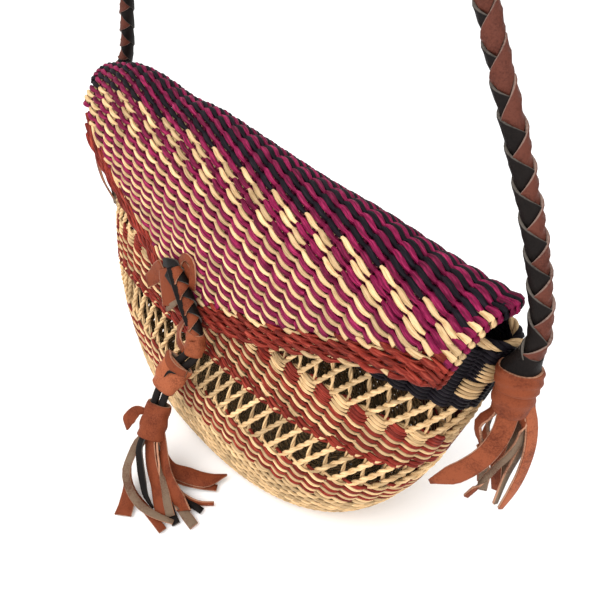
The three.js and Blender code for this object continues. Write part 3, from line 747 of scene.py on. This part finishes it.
# %% Flap surface
FLAP_ROWS = np.array([
    (21.6, 154.3, 0, 0), (17.5, 158.8, 0.3, 0.35), (10, 164.3, 0.7, 0.75), (2.5, 168.6, 0.95, 1),
    (-3.5, 170, 1, 1), (-9, 169, 0.95, 1), (-15, 165.7, 0.8, 1), (-22, 160.8, 0.5, 1),
    (-27.4, 153.5, 0.2, 1), (-30.2, 143.5, 0, 1), (-32.6, 126, 0, 1), (-34.2, 111, 0, 1),
    (-36.8, 97.5, 0, 1), (-40, 88.5, 0, 1), (-43.2, 81.5, 0, 1),
])
FLAP_LEFT = np.array([-122, -129, -135, -137, -138, -138, -137, -134, -130, -125, -105, -84, -62, -44,
                      -28], float)
FLAP_RIGHT = np.array([122, 129, 135, 138.5, 140, 138.8, 136.6, 135.7, 134.8, 132.8, 94, 65.5, 37, 9,
                       -16], float)
flap_down = path_length(FLAP_ROWS[:, :2])
COLUMN = 10.6
FLAP_LEAN, LEAN_FROM = 0.22, 45
RIDGE_PLACES = [-142, -134, -124, -104, -84, -58, -32, -14, 10, 40, 70, 100, 142]
RIDGE_BOW = [2, 5.5, 8.2, 13.5, 14, 10.6, 11.6, 9.8, 7.2, 4.4, 3.9, 1.2, 0]


def column_lean(down):
    """How far a column has moved to the left, at a distance from the back rim."""
    return FLAP_LEAN * np.maximum(down - LEAN_FROM, 0)


def flap_outer(column, down):
    """A point of the flap's outer face. Columns lean a little to the left on the way down the front."""
    x = COLUMN * column - column_lean(down)
    depth, height, bow, free = np.moveaxis(smooth_table(flap_down, FLAP_ROWS, down), -1, 0)
    out = np.minimum(np.abs(x / MOUTH_LENGTH), 1)
    rim = MOUTH_DEPTH * (1 - out ** SECTION_POWER) ** (1 / SECTION_POWER)
    ridge = smooth_table(RIDGE_PLACES, RIDGE_BOW, np.clip(x, RIDGE_PLACES[0], RIDGE_PLACES[-1]))[..., 0]
    return np.stack([x, depth - (1 - free) * (MOUTH_DEPTH - rim), height + bow * ridge], axis=-1)


def column_of(x, down):
    """The column that a place along the bag belongs to."""
    return (x + column_lean(down)) / COLUMN


print("flap length over the fold:", round(flap_down[-1], 1), "mm")

# %% [markdown]
# ## Flap rows
# Rows of black and raspberry come first, over the fold. Then natural replaces black, and after a few rows
# that start in pairs the lines run on regularly. Lower down the rows open out towards the right. Each row
# ends where the border begins. A pattern on a sheet could show the same lines, but at the fold one sees
# across the stitches, so these rows are strands too.

# %% Flap rows
BORDER, SIDE_MARGIN = 13.5, 3
FLAP_ROW, EVEN_ROWS, FOLD_ROWS = 2.5, 9, 17
FREE_ROW = 9
PITCH_PLACES = [-130, -90, -60, -30, 0, 30, 60, 100, 130]
PITCH_STEPS = [2.2, 2.45, 2.6, 2.85, 3.1, 3.15, 2.95, 2.6, 2.5]
edge_x = np.concatenate([FLAP_LEFT[FREE_ROW:], FLAP_RIGHT[FREE_ROW:][::-1]])
edge_down = np.concatenate([flap_down[FREE_ROW:], flap_down[FREE_ROW:][::-1]])


def edge_at(x):
    """How far down the flap's free edge is, at a place along the bag."""
    return np.interp(x, edge_x, edge_down)


def row_pitch(x):
    """The step between rows on the lower front."""
    return np.interp(x, PITCH_PLACES, PITCH_STEPS)


def row_down(number, x):
    """Where a row lies: even steps over the fold and in the first nine rows, then steps of the row
    pitch."""
    start = 44.6 + 3.0 * (x / 125) ** 2
    return start + FLAP_ROW * min(number, EVEN_ROWS) + row_pitch(x) * max(number - EVEN_ROWS, 0)


def inside_edges(x, down, border):
    """Whether a place lies inside the flap's side edges and above a border of the given depth."""
    left, right = np.interp(down, flap_down, FLAP_LEFT), np.interp(down, flap_down, FLAP_RIGHT)
    return (x > left + SIDE_MARGIN) & (x < right - SIDE_MARGIN) & (down < edge_at(x) - border)


def row_span(number):
    """The stretch of a row that lies inside the side edges and above the border, as places along the bag.
    A row that is shorter than ten millimetres is left out."""
    x = np.linspace(-140, 140, 1121)
    inside = inside_edges(x, row_down(number, x), BORDER)
    return x[inside][[0, -1]] if inside.sum() > 40 else None


def flap_strand(number, shift, slim):
    """One strand of a flap row; a slim one leaves more of the row to its partner."""
    span = row_span(number)
    if span is None:
        return None
    first, last = (column_of(x, row_down(number, x)) for x in span)
    place = lambda column: COLUMN * column - column_lean(row_down(number, COLUMN * column))
    down = lambda column: row_down(number, place(column))
    pitch = lambda column: row_pitch(place(column)) if number > EVEN_ROWS else np.full_like(column,
                                                                                            FLAP_ROW)
    width = 1.25 if slim else (lambda column: pitch(column) - 1.1)
    return twined_strand(flap_outer, first, last, down, shift, pitch, width, reach=1.6, thick=0.9,
                         inner=0.3)


def line_shift(number):
    """Each row starts one column later, but the third and fifth natural rows repeat the row above."""
    return number - (number >= 2) - (number >= 4)


LINE_CENTRE = 11.0 / COLUMN - 0.5
row_numbers = [n for n in range(-FOLD_ROWS, 40) if row_span(n) is not None]
flap_natural = [flap_strand(n, LINE_CENTRE + line_shift(n), True) for n in row_numbers if n >= 0]
flap_raspberry = [flap_strand(n, LINE_CENTRE + line_shift(n) + 1, False) for n in row_numbers]
flap_black = [flap_strand(n, LINE_CENTRE + line_shift(n), False) for n in row_numbers if n < 0]
make_piece("flap_raspberry_strands", flap_raspberry, raspberry_grass, ("flap",))
make_piece("flap_natural_strands", flap_natural, natural_grass)
make_piece("flap_black_strands", flap_black, black_grass)
print("flap rows:", len(row_numbers))

# %% [markdown]
# The flap's rows turn round stakes as well, which lie under the line between two stitches. A second,
# broader layer of raspberry blades lies behind them and closes the gaps, so that no light shows
# through the lid. Their tint is darkened below the grass's own range, as painted shade in the gaps
# between the stitches. Each stake starts and stops where it would leave the flap, and a comparison on a
# grid of places finds that.

# %% Flap stakes
flap_stakes = LINE_CENTRE + 0.5 + np.arange(-13, 16)
down_line = np.linspace(1, flap_down[-1] - 1, 400)
stake_x = COLUMN * flap_stakes[:, None] - column_lean(down_line)[None, :]
on_flap = inside_edges(stake_x, down_line, BORDER - 1.0)
kept = on_flap.any(axis=1)
stake_starts = down_line[on_flap[kept].argmax(axis=1)]
stake_stops = down_line[len(down_line) - 1 - on_flap[kept][:, ::-1].argmax(axis=1)]
stake_runs = (flap_outer, flap_stakes[kept], stake_starts, stake_stops)
make_piece("flap_stakes", stakes_down(*stake_runs, 2.6), natural_grass)
# Painted shade: these blades take a tint below the grass's own range, so the gaps between stitches read
# dark.
inner_stakes = stakes_down(*stake_runs, 5.5, tint=-0.2, inset=0.5)
make_piece("flap_inner_stakes", inner_stakes, raspberry_grass)

# %% [markdown]
# At both sides of the flap the row ends turn round the edge and go back into the weave behind. One rolled
# hem could cover them all, but the single turns show in the photograph. A word with one letter for each
# turn gives their colours, from the back rim over the fold to the border.

# %% Flap side edges
TURN_POINTS, TURN_STEP = 13, 2.55


def edge_turn(side, down, radius):
    """A strand that comes out of the front, bends round the edge in a half circle and goes in again
    behind."""
    t = np.linspace(-1, 1, TURN_POINTS)
    straight = np.clip((np.abs(t) - 0.5) / 0.5, 0, 1)
    bend = np.clip(t, -0.5, 0.5) * np.pi
    edge = np.interp(down, flap_down, FLAP_RIGHT if side > 0 else FLAP_LEFT)
    inset = (2.2 if side > 0 else 3.6) - 1.9 * np.cos(bend) + 7.0 * straight
    level = down - 1.3 * t
    column = column_of(edge - side * inset, level)
    here, outward, fall = surface_frame(flap_outer, column, level)
    beyond = np.cross(outward, fall) * -side
    rise = 1.75 * np.sin(bend) * (1 - 0.9 * straight)
    facing = np.cos(bend)[:, None] * beyond + np.sin(bend)[:, None] * outward
    path = here + (rise - WALL / 2)[:, None] * outward
    tint = np.full(TURN_POINTS, rng.random())
    return tube(path, facing, radius * (1 - 0.6 * straight), 0.85), tint, False


EDGE_GRASS = {
    "r": ("raspberry", raspberry_grass), "b": ("black", black_grass),
    "n": ("natural", natural_grass), "d": ("red", red_grass),
}
EDGE_WORDS = {1: "rbrbrrbrrbrrbrnrnrnrnnrddddd", -1: "brbrbbrbrbbrbrrb"}
turn_downs = 4.6 + TURN_STEP * np.arange(len(EDGE_WORDS[1]))
for letter, (name, grass) in EDGE_GRASS.items():
    radius = 1.4 if letter in "rn" else 1.15
    turns = [edge_turn(side, down, radius) for side, word in EDGE_WORDS.items()
             for down, colour in zip(turn_downs, word) if colour == letter]
    make_piece(f"flap_edge_{name}", turns, grass)

# %% [markdown]
# The border is five rows that follow the free edge. Each row starts a little less than half a stake after
# its neighbour, so its stitches lie like bricks. The innermost strand is natural, and so is a short
# stretch of the outermost one. These rows are the twined strand again, on a surface that is counted from
# the edge inward.

# %% Flap border
BORDER_ROW = 2.75


def border_strand(number, strand, width, first=-124.0, last=131.0):
    """A row that follows the free edge, counted from the edge inward."""
    down = lambda column: edge_at(COLUMN * column) - BORDER_ROW * (number + 0.5)
    surface = lambda column, level: flap_outer(column_of(COLUMN * column, level), level)
    shift = 0.45 * number + strand
    return twined_strand(surface, first / COLUMN, last / COLUMN, down, shift, BORDER_ROW, width,
                         reach=1.5,
                         thick=0.95, inner=0.3)


border_red = [border_strand(n, s, 1.5) for n in range(5) for s in (0, 1)][1:-1]
border_red += [border_strand(0, 0, 1.5, last=52.0), border_strand(0, 0, 1.5, first=112.0)]
make_piece("flap_red_border", border_red, red_grass)
border_natural = [border_strand(4, 1, 1.3), border_strand(0, 0, 1.0, 52.0, 112.0)]
make_piece("flap_natural_line", border_natural, natural_grass)

# %% [markdown]
# ## Leather strips and sleeves
# The tassels, the knot and the wraps are cut from thin goat leather. A strip here is the same flat
# section, now carried along a few points. A sleeve is a flattened tube whose wall turns in at both ends,
# so that it shows its thickness where cords go in. Cloth could be dropped into place, but a few points
# for each strip put every bend where the photograph has it.

# %% Strips and sleeves


def strip(points, facings, widths, face=0.71, thickness=1.3, samples=18):
    """A flat section carried along a smooth path. Its facing and its width change evenly from end to
    end."""
    at = path_length(np.array(points, float))
    where = np.linspace(0, at[-1], samples)
    path = smooth_table(at, points, where)
    stops = np.linspace(0, at[-1], len(facings))
    facing = [np.interp(where, stops, column) for column in np.array(facings, float).T]
    facing = unit(np.stack(facing, axis=1))
    half = np.interp(where, np.linspace(0, at[-1], len(widths)), np.array(widths, float) / 2)
    ahead = tangents(path)
    side = unit(np.cross(facing, ahead))
    up = np.cross(ahead, side)
    grid = (path[:, None] + half[:, None, None] * STRIP_ACROSS[None, :, None] * side[:, None]
            + thickness / 2 * STRIP_RISE[None, :, None] * up[:, None])
    return grid, np.tile(np.where(STRIP_TINT > 0.6, face, STRIP_TINT), (samples, 1)), False


def sleeve(points, facing, widths, depths, wall=1.4, rows=16, around=24, crease=0.0, face=0.74):
    """An oval carried along a line from one end to the other outside and back again inside. A crease adds
    a few shallow waves across the outside, as where leather is pulled tight."""
    at = path_length(np.array(points, float))
    t = np.linspace(0, 1, rows)
    t = np.concatenate([[0.0, 0.0], t, [1.0, 1.0], t[::-1]])
    skin = np.concatenate([[-0.5, -0.15], np.zeros(rows), [-0.15, -0.5], np.full(rows, -1.0)])
    path = smooth_table(at, points, t * at[-1])
    ahead = unit(np.array(points[-1], float) - np.array(points[0], float))
    side = unit(np.cross(facing, ahead))
    up = np.cross(ahead, side)
    stops = np.linspace(0, 1, len(widths))
    wide = smooth_table(stops, np.array(widths, float) / 2, t)[:, 0]
    deep = smooth_table(stops, np.array(depths, float) / 2, t)[:, 0]
    angle = 2 * np.pi * np.arange(around) / around - np.pi / 2
    waves = np.sin(14 * t[:, None] + 2.2 * np.sin(2 * angle)[None, :] + 1.0)
    waves = crease * waves * (skin[:, None] > -0.6)
    grow = wall * skin[:, None] + waves
    grid = (path[:, None] + ((wide[:, None] + grow) * signed_power(np.cos(angle), 0.8))[..., None] * side
            + ((deep[:, None] + grow) * signed_power(np.sin(angle), 0.8))[..., None] * up)
    tint = np.where(skin > -0.1, face, np.where(skin > -0.6, EDGE_TINT, 0.05))
    return grid, np.repeat(tint[:, None], around, axis=1), True


print("strip section of", len(STRIP_ACROSS), "points")

# %% [markdown]
# ## Strap feet
# At each end the braid goes into a leather wrap. Below the wrap its strips hang as a tassel: a few are
# broad, others narrow, some show the grey flesh side. The left foot is the right one turned half round,
# so that both tassels are made from one table.

# %% Wraps and tassels at the strap's feet
TASSEL_STRIPS = [
    ([(149.5, -9, 135), (150.4, -10.4, 130), (151.3, -12.5, 123.8), (150.5, -17, 113.8),
      (144.9, -22, 100.3), (136, -27, 88.3)],
     [(0.6, -0.75, 0.2), (0.4, -0.8, 0.5), (0.25, -0.8, 0.6)], (8, 7.5, 7.5, 8, 8, 2), 0.8),
    ([(146.5, -9, 134), (145, -10.8, 127), (142, -13, 118.7), (144.3, -14, 113.9), (147.1, -11, 102.5),
      (149, -10, 93.5), (150.3, -10, 81.6)],
     [(-0.9, -0.4, 0), (-0.6, -0.75, 0.2), (0.4, 0.8, 0.2), (-0.5, 0.8, 0)], (5, 5, 5.5, 5, 4)),
    ([(152, -6, 135), (154.1, -6.2, 128.4), (156.2, -6.5, 120.4), (155.6, -9, 111), (153.3, -12, 102.4),
      (151.2, -15, 93.1), (148.1, -18, 82.4)],
     [(0.8, -0.6, 0.1), (-0.7, 0.3, -0.4), (-0.4, 0.5, -0.6), (0.6, -0.5, 0.5)], (4.5, 3.4, 2.8, 2.6, 2)),
    ([(153, -3, 135), (155.3, -3, 129.2), (157.2, -3.5, 120.5), (157.1, -5, 108.8), (156.5, -7, 96.9),
      (157.1, -10, 79.5)],
     [(0.8, -0.2, 0.2), (-0.9, 0.35, -0.2), (-0.9, 0.35, -0.2)], (4.5, 3.4, 3, 2)),
    ([(152, -3, 136), (154, -3.8, 132.4), (156.6, -3.8, 126.7), (159.4, -4.6, 117.7), (161, -6.2, 105),
      (160.8, -7.8, 91), (159.4, -9.2, 77.8)],
     [(0.9, -0.2, 0.3), (0.9, -0.4, 0.2), (0.8, -0.5, 0.3)], (5, 5.5, 5, 4.5, 2), 0.98),
    ([(146, -1, 134), (148, 1, 110), (148.5, -1, 93), (153, -2, 76)], [(0.3, 0.9, 0), (0.1, -0.9, 0.3)],
     (6, 5.5, 4)),
    ([(149, 0, 134), (150, 4.5, 117), (150.5, 4, 98), (151, 0, 83)], [(0.2, 0.95, 0.1), (0.2, 0.95, 0.1)],
     (7, 6, 5)),
    ([(144, -3, 134), (142.5, -5, 118), (145, -7, 100), (148, -7, 82)],
     [(-0.9, 0.3, 0), (0.5, -0.8, 0.2)], (6, 6, 4)),
]
FOOT_DEPTH = -6.0


def half_turn(points, side, depth=0.0):
    """The points as they are for the right foot; for the left foot, turned half round the vertical."""
    return np.array(points, float) * [side, side, 1] + [0, (1 - side) * depth, 0]


def foot_sleeve(side, ends, sizes, crease):
    """A sleeve round the strap's end, a little wider than deep."""
    return sleeve(half_turn(ends, side, FOOT_DEPTH), (0, -side, 0), sizes, 0.95 * np.array(sizes),
                  crease=crease)


for name, side in (("right", 1), ("left", -1)):
    wrap = foot_sleeve(side, [(147.3, -5.2, 148.8), (149, -6.8, 140.4)], (15, 15.8, 15.4, 14.4), 0.25)
    make_piece(f"strap_wrap_{name}_leather", [wrap], brown_leather,
               (f"strap_wrap_{name}",))
    collar = foot_sleeve(side, [(148.7, -4.4, 156.4), (147.7, -5.5, 147.6)], (8.6, 10.6, 14), 0.0)
    make_piece(f"strap_foot_{name}_collar", [collar], black_leather)
    head = foot_sleeve(side, [(148.8, -6.6, 144), (148.9, -6.8, 129.6)], (11.4, 13.8, 14.2, 12.4), 0.3)
    strips = [strip(half_turn(points, side, FOOT_DEPTH), half_turn(facings, side), *rest)
              for points, facings, *rest in TASSEL_STRIPS]
    make_piece(f"strap_tassel_{name}_strips", [head] + strips, brown_leather,
               (f"strap_tassel_{name}",))

# %% [markdown]
# ## Closure
# A loop of thong comes through the flap, a folded leather tab lies under it, and a short braid runs down
# to a band. Two black cords go on from there through a slider and end in a tassel that lies on the
# ground. The small braid is the strap's braid again with a shorter period, and the knot is two strips
# that cross it.

# %% Tab, knot and braid
FLAP_FACE = np.array([0.0, -0.95, 0.3])
left_lobe = strip([(-40, -39, 101), (-43.8, -39.8, 96.4), (-47.8, -41.4, 91), (-52.6, -43.6, 86)],
                  [(0.2, -0.95, 0.3), (0, -0.9, 0.45)], (9, 10.5, 10.5, 9, 8))
right_lobe = strip([(-37.5, -38.8, 101.5), (-33.5, -40.4, 96), (-29.8, -42.2, 90.5),
                    (-26.4, -44.2, 85.2)],
                   [(0.1, -0.95, 0.3), (0.3, -0.9, 0.4)], (11, 13, 13.5, 13.5, 13))
torn_edge = strip([(-30, -46, 80.9), (-26, -44.2, 85.8), (-22.2, -42.4, 90.2)],
                  [(-0.3, 0.9, -0.4), (-0.3, 0.9, -0.4)], (2.4, 3.4, 2.6))
side_thong = strip([(-25.6, -42, 110.6), (-16.9, -44.2, 102.2), (-9.7, -46.4, 95.2), (-3.6, -48.4, 89)],
                   [toward, toward], (3.6, 5, 4.8, 3))
make_piece("closure_tab_lobes", [left_lobe, right_lobe, torn_edge], brown_leather,
           ("closure_tab",))

BRAID_ROUTE = [(-24.4, -39, 109.8), (-15.6, -41.2, 101.4), (-8.4, -43.4, 94.4), (-2, -45.6, 87.8),
               (0.6, -48, 81.6)]
braid_line = smooth_table([0, 1, 2, 3, 4], BRAID_ROUTE, np.linspace(0, 4, 80))
braid_make = dict(period=17.0, radius=3.1, width=6.2, thickness=1.4, samples=22)
small_black = [braid_strip(braid_line, toward, 70, -1, start, **braid_make) for start in (0.25, 0.75)]
small_brown = [braid_strip(braid_line, toward, 70, 1, start, **braid_make) for start in (0.0, 0.5)]
make_piece("closure_braid_black", small_black + [side_thong], black_leather,
           ("closure_braid",))
loop_thong = strip([(-24.5, -37, 106.5), (-23.8, -36.4, 112.4), (-17.2, -36.2, 118.8),
                    (-12.8, -36.4, 118.4), (-12.2, -37, 110.5), (-12.8, -38.4, 101.7)],
                   [(-0.3, -0.9, 0.5), (0, -0.95, 0.3), (0.4, -0.9, 0.2)], (3.5, 3.8, 4.2, 4.2, 4))
loop_inside = strip([(-21.6, -36, 112.4), (-18.2, -36.2, 111), (-17.6, -37, 104), (-18.5, -38, 98.5)],
                    [(0, -0.95, 0.3), (0.2, -0.9, 0.2)], (4, 5.5, 5.5, 4))
make_piece("closure_braid_brown", small_brown + [loop_thong, loop_inside], brown_leather)
knot = strip([(-38, -38.3, 105), (-32, -38.8, 108), (-25.7, -38, 109.2), (-21.6, -39, 106.5)],
             [(0, -0.9, 0.4), (0.2, -0.9, 0.4)], (5, 5.5, 5.5, 4), thickness=2.0)
tuck = strip([(-34.1, -40.2, 100.7), (-28, -41, 99.5), (-21.9, -41.4, 97.5)],
             [(0, -0.9, 0.4), (0, -0.9, 0.4)], (4, 4.5, 3.5))
make_piece("closure_knot", [knot, tuck], black_leather)

# %% [markdown]
# The band is a short leather ring at the end of the braid. The two black cords leave it, run side by side
# down the front and pass through the slider, a wider ring with a lip and a slit that holds the flap shut.
# Rings are sleeves, and each cord is a round section on one smooth line, moved a little to its own side.

# %% Band, cords and slider
band = sleeve([(-0.6, -46.6, 85.2), (1.1, -48.6, 79.8), (0, -50.4, 72.4)], (0.3, -0.85, 0.4),
              (9.4, 11, 10), (6.8, 8.6, 7.2), crease=0.25, face=0.88)
fold = strip([(-9.6, -47, 88), (-12.6, -49.4, 80.2), (-11, -51.4, 74.6), (-3.8, -53, 73.8)],
             [(-0.5, -0.85, 0.2), (-0.3, -0.9, 0.3), (0.2, -0.9, 0.4)], (3.5, 5, 5.5, 4))
make_piece("closure_band_leather", [band, fold], brown_leather, ("closure_band",))

cord_line = np.array([(0.6, -49.2, 77), (-0.4, -52, 71.4), (-3, -56.4, 66.8), (-6.4, -62, 58.4),
                      (-8, -68.5, 48.5), (-7, -73, 42), (-6, -76.5, 36)])
CORD_ACROSS = np.array([0.9, 0.25, -0.3])
CORD_SAMPLES = 30
cord_at = path_length(cord_line)
cord_where = np.linspace(0, cord_at[-1], CORD_SAMPLES)
cords = []
for offset in (-2.5, 2.5):
    path = smooth_table(cord_at, cord_line + offset * CORD_ACROSS, cord_where)
    facing = np.broadcast_to(FLAP_FACE, path.shape)
    cords.append((tube(path, facing, 2.2, 2.0, 10), np.full(CORD_SAMPLES, 1.0), False))
make_piece("closure_black_cords", cords, black_leather, ("closure_cords",))

slider = sleeve([(-3.4, -56.5, 68), (-5.7, -62, 60.4), (-8, -67.2, 52.2)], (0.3, -0.75, 0.45),
                (17.2, 17.4, 13.4), (6, 9.8, 8.4), crease=0.35, face=1.0)
lip = strip([(-11.2, -58.4, 71.6), (-6.8, -61.2, 69.8), (-0.6, -61.2, 67.6), (4.6, -58.6, 66.4)],
            [(-0.2, -0.75, 0.6), (0.2, -0.8, 0.65), (0.6, -0.75, 0.5)], (3, 4.6, 4.8, 4), thickness=2.0)
make_piece("closure_slider_leather", [slider, lip], brown_leather, ("closure_slider",))
# The slit is a thin black strip laid on the slider: a painted shadow in the slit.
slit = strip([(-4.6, -66.6, 63), (-3, -64.2, 66.2), (0.8, -62.5, 66.6)],
             [(0.3, -0.75, 0.45), (0.3, -0.75, 0.45)], (0.5, 1.7, 0.5), thickness=0.8)
make_piece("closure_slider_slit_shadow", [slit], black_leather)

# %% [markdown]
# The cords end in a gathered sleeve, and below it the tassel's strips spread over the ground. Some show
# the red face, some the grey flesh side, and a few are black. Scattering strips at random would be
# quicker, but each one is plain to see in the photograph, so each has its own short row: a route, the way
# it faces, and widths.

# %% Front tassel
tassel_sleeve = sleeve([(-7.8, -71, 42), (-6, -76.6, 34.4), (-3.6, -82.2, 26.4)], (0.4, -0.8, 0.4),
                       (13.4, 14.4, 14.8), (9.5, 12.4, 11.8), crease=0.35, face=0.73)
ear = strip([(-11.8, -77.6, 36.6), (-15, -81.4, 37.6), (-16.2, -86, 34.6), (-15.4, -89.6, 27.6)],
            [(0.5, -0.6, 0.65), (0.5, -0.6, 0.65)], (2.5, 6.5, 7.6, 1.0))
make_piece("closure_tassel_sleeve", [tassel_sleeve, ear], brown_leather,
           ("closure_tassel_wrap",))

UP_FACE = [(0, -0.8, 0.6), (0, -0.5, 0.85), (0, -0.2, 1)]
AWAY_FACE = [(-0.3, 0.6, -0.7), (-0.4, 0.5, -0.75), (-0.2, 0.3, -0.9), (0, 0.1, -1)]
RIGHT_FACE = [(0.6, -0.3, 0.7), (0.2, -0.2, 0.95), (0, 0, 1)]
FLAT_FACE = [(0, -0.7, 0.6), (0, -0.3, 0.9), (0, 0, 1), (0, 0, 1)]
FRONT_BROWN = [
    ([(-5.5, -83, 28), (-7.3, -87.7, 24.5), (-3.6, -95.5, 21), (0, -101.6, 16), (7.1, -104.5, 10),
      (16.3, -104.5, 6.5), (25.5, -101.2, 4.5), (34.4, -96, 3)], AWAY_FACE, (4, 4.5, 4.5, 4.5, 4, 2.5)),
    ([(-5.6, -85, 26), (-6.3, -95.3, 17), (-3.7, -100.8, 9), (2.3, -104.3, 4.6), (7.8, -108.6, 2.2),
      (12.3, -113.6, 1.5)], FLAT_FACE, (3, 3, 3, 3.4, 8, 9.6)),
    ([(-5.4, -85, 25), (-6.2, -97, 13), (-1, -101.4, 6.4), (8.3, -103.1, 3.8), (18.4, -102.5, 2.3),
      (34, -102.3, 1.5)], FLAT_FACE, (4, 4, 4, 4.6, 4.6)),
    ([(-3.3, -82, 29), (0, -85, 25), (7.7, -89.8, 18), (14.1, -92.2, 11), (20.2, -95.5, 5),
      (27.2, -98.6, 2)], UP_FACE, (7, 7.2, 7, 6.6, 6)),
    ([(-0.4, -80.2, 28), (5.2, -83.9, 23), (12.6, -87.5, 16), (20, -90.5, 9.5), (24.5, -92.7, 5.5),
      (30.4, -95.2, 2.4)],
     [(-0.5, -0.6, 0.3), (-0.6, -0.4, 0.3), (-0.2, 0.5, -0.8), (-0.1, 0.3, -0.9)], (4, 3.4, 3, 4.6, 5)),
    ([(-1, -77.6, 28), (1.7, -79.1, 25), (8.4, -82.9, 20), (14.8, -85.9, 15), (23.3, -87.2, 9),
      (30.3, -87.4, 5), (33.4, -88.2, 3.7), (31.4, -87.6, 2.3), (26, -86.8, 2.1)],
     [(0.3, -0.6, 0.8), (0.3, -0.6, 0.8), (0.6, -0.6, 0.5), (0.4, -0.3, -0.9)], (6, 6.5, 7.5, 8.5, 8)),
    ([(-2, -79, 26), (0.4, -80.2, 14), (9.6, -80.4, 8.6), (16.5, -75.5, 5.6), (25.4, -69, 4),
      (30.3, -57.5, 3)], RIGHT_FACE, (5, 6, 7.5, 9.5, 9, 0.8)),
    ([(-1, -80, 26), (6.9, -82.1, 8), (15.1, -80, 4.5), (24.4, -73.3, 2.4), (32.5, -66.3, 1.6)],
     RIGHT_FACE, (5, 5, 4.5, 4)),
    ([(0, -81, 26), (14.3, -84.3, 7), (26.8, -82.7, 3.4), (34.3, -78.8, 2.4), (39.3, -73.1, 1.8)],
     [(0.3, -0.6, 0.7), (0.5, -0.8, 0.3), (0.5, -0.8, 0.3)], (3.5, 3, 2.4)),
]
FRONT_BLACK = [
    ([(-5.2, -85, 29), (-2.1, -90.3, 25.4), (3.5, -94.1, 20.4), (8.9, -97.1, 14.4), (14.7, -99.6, 8.2),
      (20.7, -99.7, 3.6)], UP_FACE, (4.4, 4.6, 4.6, 3.4, 1.2)),
    ([(0, -82, 26), (16.5, -84.6, 6), (27.9, -83.5, 2.6), (38.4, -80.5, 1.3)], UP_FACE, (4, 4, 3.6)),
    ([(-2, -83, 26), (7.1, -86.8, 11), (18.8, -90.8, 4.5), (29.3, -93.6, 1.6), (35.4, -95, 1.2)], UP_FACE,
     (4.5, 4.5, 4.5)),
]
FRONT_FLESH = [
    ([(0, -82, 26), (5.8, -82.5, 13), (18.6, -86, 6), (32.8, -88.2, 2), (42.7, -88.6, 1.3)],
     [(0, 0.3, -1), (0, 0.2, -1)], (5, 5.5, 5.5)),
]
make_piece("closure_tassel_strips", [strip(*row) for row in FRONT_BROWN + FRONT_FLESH], brown_leather,
           ("closure_tassel",))
make_piece("closure_tassel_black_strips", [strip(*row) for row in FRONT_BLACK], black_leather)

# %% [markdown]
# ## Floor and light
# The bag stands on a white surface under broad, soft light. A picture of a room could light it too, but
# two area lights and an even white sky are simple to change and leave no reflections of their own.

# %% Floor, light and world
FLOOR_LEVEL, FLOOR_HALF = -0.3975, 6
floor_corners = [(x * FLOOR_HALF, y * FLOOR_HALF, FLOOR_LEVEL) for x,
                 y in ((-1, -1), (1, -1), (1, 1), (-1, 1))]
floor_mesh = bpy.data.meshes.new("floor")
floor_mesh.from_pydata(floor_corners, [], [(0, 1, 2, 3)])
floor = bpy.data.objects.new("floor", floor_mesh)
bpy.context.scene.collection.objects.link(floor)
paper = bpy.data.materials.new("white_paper")
paper.use_nodes = True
paper_shader = paper.node_tree.nodes["Principled BSDF"]
paper_shader.inputs["Base Color"].default_value = (1.0, 1.0, 1.0, 1)
paper_shader.inputs["Roughness"].default_value = 0.9
floor_mesh.materials.append(paper)


def soft_light(name, place, aim, size, power):
    """A square area light that faces a point."""
    data = bpy.data.lights.new(name, "AREA")
    data.size = size
    data.energy = power
    light = bpy.data.objects.new(name, data)
    away = unit(np.array(place, float) - np.array(aim, float))
    side = unit(np.cross((0, 0, 1), away))
    turn = np.eye(4)
    turn[:3, :3] = np.stack([side, np.cross(away, side), away], axis=1)
    turn[:3, 3] = place
    light.matrix_world = Matrix(turn.tolist())
    bpy.context.scene.collection.objects.link(light)


soft_light("key", (-0.35, -1.0, 1.3), (0, 0, -0.3), 1.6, 26)
soft_light("fill", (1.2, -0.6, 0.6), (0, 0, -0.3), 1.2, 10)
world = bpy.data.worlds.new("studio")
world.use_nodes = True
sky = world.node_tree.nodes["Background"]
sky.inputs["Color"].default_value = (1, 1, 1, 1)
sky.inputs["Strength"].default_value = 0.92
bpy.context.scene.world = world
bpy.context.scene.view_settings.view_transform = "Standard"
print("floor at", FLOOR_LEVEL, "m, sky strength", sky.inputs["Strength"].default_value)
